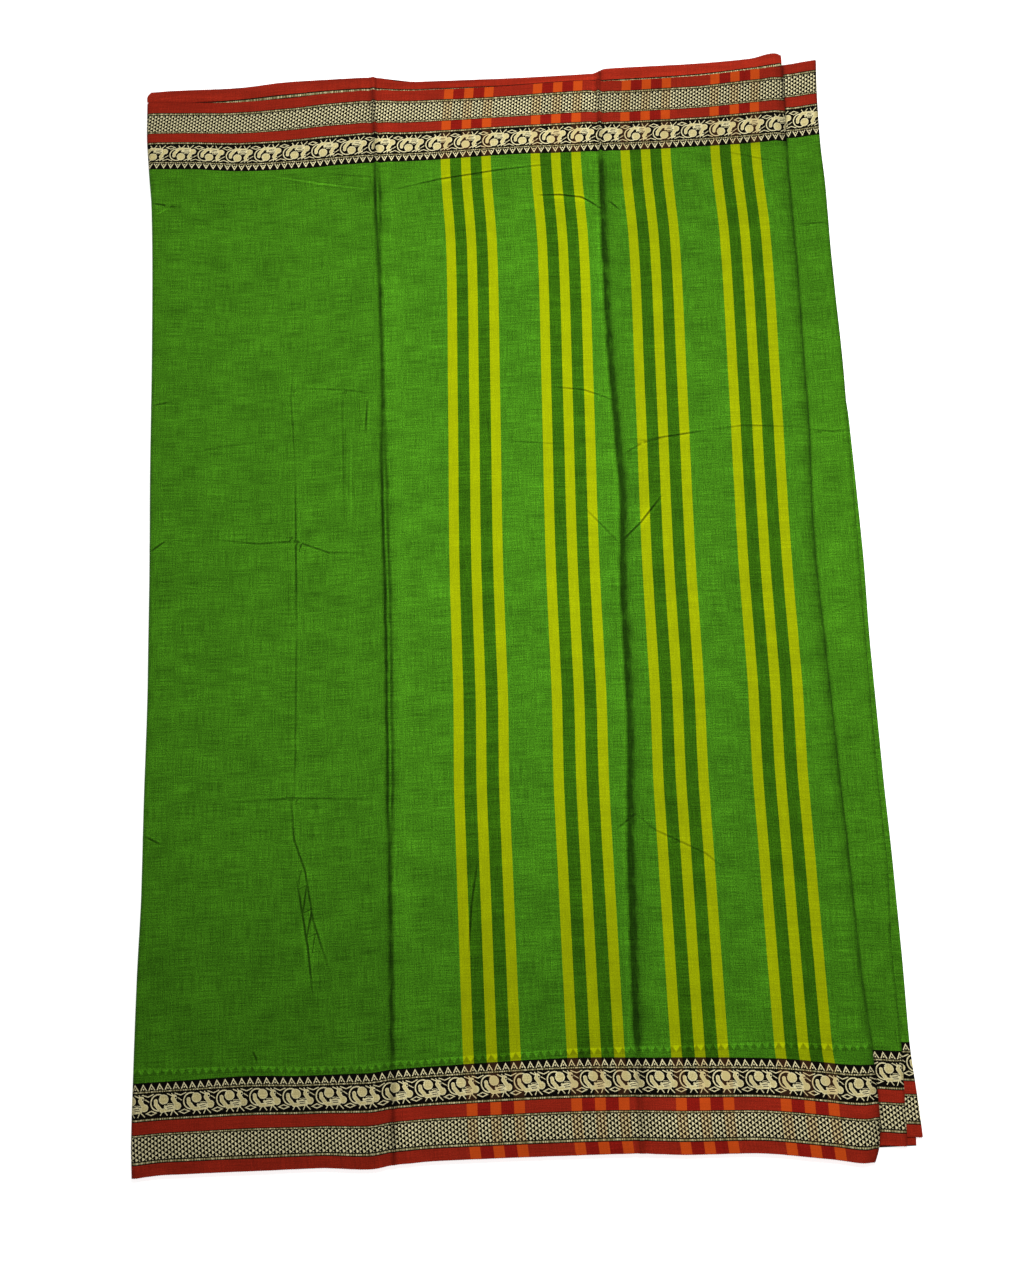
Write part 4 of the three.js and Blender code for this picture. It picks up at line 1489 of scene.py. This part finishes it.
def cloth_groups():
    """The node groups that the cloth's materials share."""
    made = {
        "stripes": stripes_group(), "weave": weave_group(), "band": band_group(),
        "birds": bird_group(stroke_group(), oval_group(), arc_group()), "shown": show_through_group(),
    }
    return {name: ("ShaderNodeGroup", {"node_tree": tree}) for name, tree in made.items()}


def cloth_materials(striped):
    """The field's and the border's materials, made once for each kind of cloth."""
    kind = "Striped" if striped else "Plain"
    names = (kind + " hand-loom cotton", kind + " cotton border with zari")
    if names[0] not in bpy.data.materials:
        if not GROUPS:
            GROUPS.update(cloth_groups())
        field_material(names[0], GROUPS, float(striped))
        border_material(names[1], GROUPS, float(striped))
    return [bpy.data.materials[name] for name in names]


# Selvedge yarns, by geometry nodes.

LOOP_PITCH = 0.0022             # the weft turns back every 0.7 mm, drawn coarser so that it shows
LOOP_YARN = 0.00016
PATH_STEP = 0.003
CIRCLE = "GeometryNodeCurvePrimitiveCircle"
SWEEP = "GeometryNodeCurveToMesh"
RESAMPLE = ("GeometryNodeResampleCurve", {"mode": "LENGTH"})


def selvedge_tree():
    """A doubled yarn along each line of a mesh, with the weft's loops round it."""
    tree, (line, radius, pitch, thin, uneven, seed, material) = new_group(
        "Selvedge yarn",
        {"Line": SHAPE, "Radius": 0.0004, "Loop pitch": LOOP_PITCH, "Loop yarn": LOOP_YARN,
         "Unevenness": 0.0003, "Seed": 4, "Material": FINISH},
        {"Yarns": SHAPE}, "GeometryNodeTree")
    curve = node(tree, "GeometryNodeMeshToCurve", {"Mesh": line})
    curve = node(tree, RESAMPLE, {"Curve": curve, "Length": PATH_STEP})
    place = node(tree, "GeometryNodeInputPosition")
    waver = node(tree, NOISE, {"Vector": place, "Scale": 90.0, "Detail": 1.0})
    waver = node(tree, APART, [waver.outputs["Color"], (0.5, 0.5, 0.5)])
    waver = node(tree, SCALED, {"Vector": waver, "Scale": uneven})
    curve = node(tree, "GeometryNodeSetPosition", {"Geometry": curve, "Offset": waver})
    section = node(tree, CIRCLE, {"Resolution": 5, "Radius": radius})
    yarn = node(tree, SWEEP, {"Curve": curve, "Profile Curve": section})

    wide = node(tree, TIMES_PLUS, [radius, 1.15, thin])
    ring = node(tree, CIRCLE, {"Resolution": 6, "Radius": wide})
    section = node(tree, CIRCLE, {"Resolution": 3, "Radius": thin})
    ring = node(tree, SWEEP, {"Curve": ring, "Profile Curve": section})
    spots = node(tree, RESAMPLE, {"Curve": curve, "Length": pitch})
    way = node(tree, "GeometryNodeInputTangent")
    turn = node(tree, ("FunctionNodeAlignRotationToVector", {"axis": "Z"}), {"Vector": way})
    size = node(tree, ("FunctionNodeRandomValue", {"data_type": "FLOAT"}),
                {"Min": 0.9, "Max": 1.15, "Seed": seed})
    loops = node(tree, "GeometryNodeInstanceOnPoints",
                 {"Points": spots, "Instance": ring, "Rotation": turn, "Scale": size})
    joined = tree.nodes.new("GeometryNodeJoinGeometry")
    for part in (loops, yarn):
        tree.links.new(part.outputs[0], joined.inputs[0])
    real = node(tree, "GeometryNodeRealizeInstances", {"Geometry": joined})
    return end_group(tree, node(tree, "GeometryNodeSetMaterial", {"Geometry": real, "Material": material}))


def selvedge_yarns(name, lines):
    """The yarns along a stretch's selvedges, as one mesh."""
    tree = bpy.data.node_groups.get("Selvedge yarn") or selvedge_tree()
    path = bpy.data.meshes.new(name + " path")
    points, edges = [], []
    for line in lines:
        start = len(points)
        clear_of_floor = np.maximum(line[:, 2], 2.2 * sizes().selvedge_yarn)
        points += np.column_stack((line[:, :2], clear_of_floor)).tolist()
        edges += [(k, k + 1) for k in range(start, len(points) - 1)]
    path.from_pydata(points, edges, [])
    holder = new_piece(name + " path", path)
    modifier = holder.modifiers.new("Yarn", "NODES")
    modifier.node_group = tree
    given = {"Radius": sizes().selvedge_yarn, "Material": yarn_material()}
    for item in tree.interface.items_tree:
        if item.name in given:
            modifier[item.identifier] = given[item.name]
    graph = bpy.context.evaluated_depsgraph_get()
    mesh = bpy.data.meshes.new_from_object(holder.evaluated_get(graph), depsgraph=graph)
    bpy.data.objects.remove(holder)
    mesh.name = name
    mesh.shade_smooth()
    return new_piece(name, mesh)


# Pieces.


def settle(piece, slot, *nodes):
    """Put a cloth piece on the frame in its solid's place."""
    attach(piece, "root")
    if nodes:
        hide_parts(*nodes)


# The camera, as the photograph was taken.
LENS = 35.0
SENSOR = 36.0
CAMERA_PLACE = (-0.0041, -0.3240, 1.2730)
CAMERA_TILT = math.radians(11.2)        # from straight down, towards the upper selvedge
CAMERA_TURN = math.radians(2.35)        # clockwise, seen from above

LAMP_PLACE = (0.15, 0.17, 1.06)
LAMP_AIM = (0.11, 0.10, 0.0)
LAMP_SIZE = 0.35
LAMP_POWER = 11.9
FILL = 0.17
FLOOR_HALF = 4.0


class SAREE_OT_stage(bpy.types.Operator):
    """Set up the camera, the floor and the soft light"""

    bl_idname = "saree.stage"
    bl_label = "Stage"

    def execute(self, context):
        scene = context.scene
        camera = new_piece("Camera", bpy.data.cameras.new("Camera"))
        camera.data.lens = LENS
        camera.data.sensor_width = SENSOR
        camera.data.clip_start = 0.01
        camera.location = CAMERA_PLACE
        camera.rotation_euler = (CAMERA_TILT, 0.0, -CAMERA_TURN)
        scene.camera = camera
        scene.view_settings.view_transform = "Standard"

        lamp = new_piece("Lamp", bpy.data.lights.new("Lamp", "AREA"))
        lamp.data.size = LAMP_SIZE
        lamp.data.energy = LAMP_POWER
        lamp.location = LAMP_PLACE
        way = Vector(LAMP_AIM) - Vector(LAMP_PLACE)
        lamp.rotation_euler = way.to_track_quat("-Z", "Y").to_euler()
        lamp.visible_camera = False

        scene.world = bpy.data.worlds.new("Soft fill")
        scene.world.use_nodes = True
        sky = scene.world.node_tree.nodes["Background"]
        sky.inputs["Color"].default_value = (1.0, 1.0, 1.0, 1.0)
        sky.inputs["Strength"].default_value = FILL

        mesh = bpy.data.meshes.new("Floor")
        corners = [(-1, -1), (1, -1), (1, 1), (-1, 1)]
        mesh.from_pydata([(FLOOR_HALF * x, FLOOR_HALF * y, 0.0) for x, y in corners], [], [(0, 1, 2, 3)])
        mesh.materials.append(paper_material())
        new_piece("Floor", mesh)
        return {"FINISHED"}


PAPER = 0xF4F4F2


# White backdrop paper: matte, and lit through a little so that it stays pale to its corners.
def paper_material():
    material, tree = new_material("White backdrop paper")
    paper = node(tree, "ShaderNodeBsdfPrincipled", {
        "Base Color": (*linear(PAPER), 1.0), "Roughness": 0.95, "Emission Color": (1.0, 1.0, 1.0, 1.0),
        "Emission Strength": 0.80})
    node(tree, "ShaderNodeOutputMaterial", [paper])
    return material


class SAREE_OT_top_cloth(bpy.types.Operator):
    """Make the striped stretch on top, with its rolled left fold and its right fold"""

    bl_idname = "saree.top_cloth"
    bl_label = "Top cloth"

    def execute(self, context):
        piece, edges = top_cloth()
        give_materials(piece, *cloth_materials(True))
        settle(piece, "striped_cotton", "top_stretch")
        yarns = selvedge_yarns("top_selvedges", edges)
        settle(yarns, "green_cotton")
        return {"FINISHED"}


class SAREE_OT_inner_cloths(bpy.types.Operator):
    """Make the three stretches beneath the top one, of which an edge or a strip shows"""

    bl_idname = "saree.inner_cloths"
    bl_label = "Inner cloths"

    def execute(self, context):
        def tucked(y):
            return side("left", y) + TUCKED_END_INSET

        def turned_left(y):
            past = np.clip((y - 0.5618) / 0.0016, 0, 1)
            corner = 0.0045 * np.clip((y - 0.569) / 0.008, 0, 1) ** 2
            return side("left", y) + TUCKED_END_INSET * (1 - past) + 0.0006 * past + corner

        def turned_right(y):
            past = np.clip((y - 0.576) / 0.006, 0, 1)
            return side("top", y) - (RIGHT_ROLL + 0.0003) * (1 - past) - 0.0012 * past

        def from_right(name, inset):
            return lambda y: side(name, y) - inset

        makers = (
            ("turned_cloth", "turned", 2, "turned_under_stretch", "second_cloth", 0.702,
             (turned_left, from_right("top", 0.040), from_right("top", 0.018), turned_right),
             turned_v, turned_relief, turned_painted_shade),
            ("second_cloth", "second", 1, "second_stretch", "third_cloth", 0.742,
             (tucked, from_right("top", 0.004), from_right("top", -0.008), from_right("second", 0)),
             own_v, strip_relief, strip_painted_shade),
            ("third_cloth", "third", 0, "third_stretch", "hidden_cloth", 0.744,
             (tucked, from_right("third", 0.040), from_right("third", 0.018), from_right("third", 0)),
             own_v, no_relief, no_relief),
        )
        for name, edges, level, solid, below, length, *shape in makers:
            piece, selvedges = flat_cloth(name, edges, level, *shape)
            give_materials(piece, *cloth_materials(False))
            settle(piece, "green_cotton", solid)
            yarns = selvedge_yarns(edges + "_selvedges", selvedges)
            settle(yarns, "green_cotton")
        return {"FINISHED"}


class SAREE_OT_hidden_cloth(bpy.types.Operator):
    """Make the hidden layers, whose folds and selvedges show as layers round the edge"""

    bl_idname = "saree.hidden_cloth"
    bl_label = "Hidden cloth"

    def execute(self, context):
        piece = hidden_cloth()
        give_materials(piece, *cloth_materials(False))
        settle(piece, "green_cotton", "hidden_layers")
        return {"FINISHED"}


class SAREE_PT_panel(bpy.types.Panel):
    """The saree's pieces, in the order in which they are made"""

    bl_label = "Folded saree"
    bl_idname = "SAREE_PT_panel"
    bl_space_type = "VIEW_3D"
    bl_region_type = "UI"
    bl_category = "Saree"

    def draw(self, context):
        for operator in OPERATORS:
            self.layout.operator(operator.bl_idname)
        for group in (context.scene.saree_sizes, context.scene.saree_colours):
            for name in group.bl_rna.properties.keys():
                if name not in ("rna_type", "name"):
                    self.layout.prop(group, name)


OPERATORS = (SAREE_OT_stage, SAREE_OT_hidden_cloth, SAREE_OT_inner_cloths, SAREE_OT_top_cloth)
CLASSES = (SareeSizes, SareeColours, *OPERATORS, SAREE_PT_panel)


def register():
    for item in CLASSES:
        bpy.utils.register_class(item)
    bpy.types.Scene.saree_sizes = PointerProperty(type=SareeSizes)
    bpy.types.Scene.saree_colours = PointerProperty(type=SareeColours)


def unregister():
    del bpy.types.Scene.saree_sizes
    del bpy.types.Scene.saree_colours
    for item in reversed(CLASSES):
        bpy.utils.unregister_class(item)


def main():
    register()
    bpy.ops.saree.stage()
    bpy.ops.saree.hidden_cloth()
    bpy.ops.saree.inner_cloths()
    bpy.ops.saree.top_cloth()


if __name__ == "__main__":
    main()
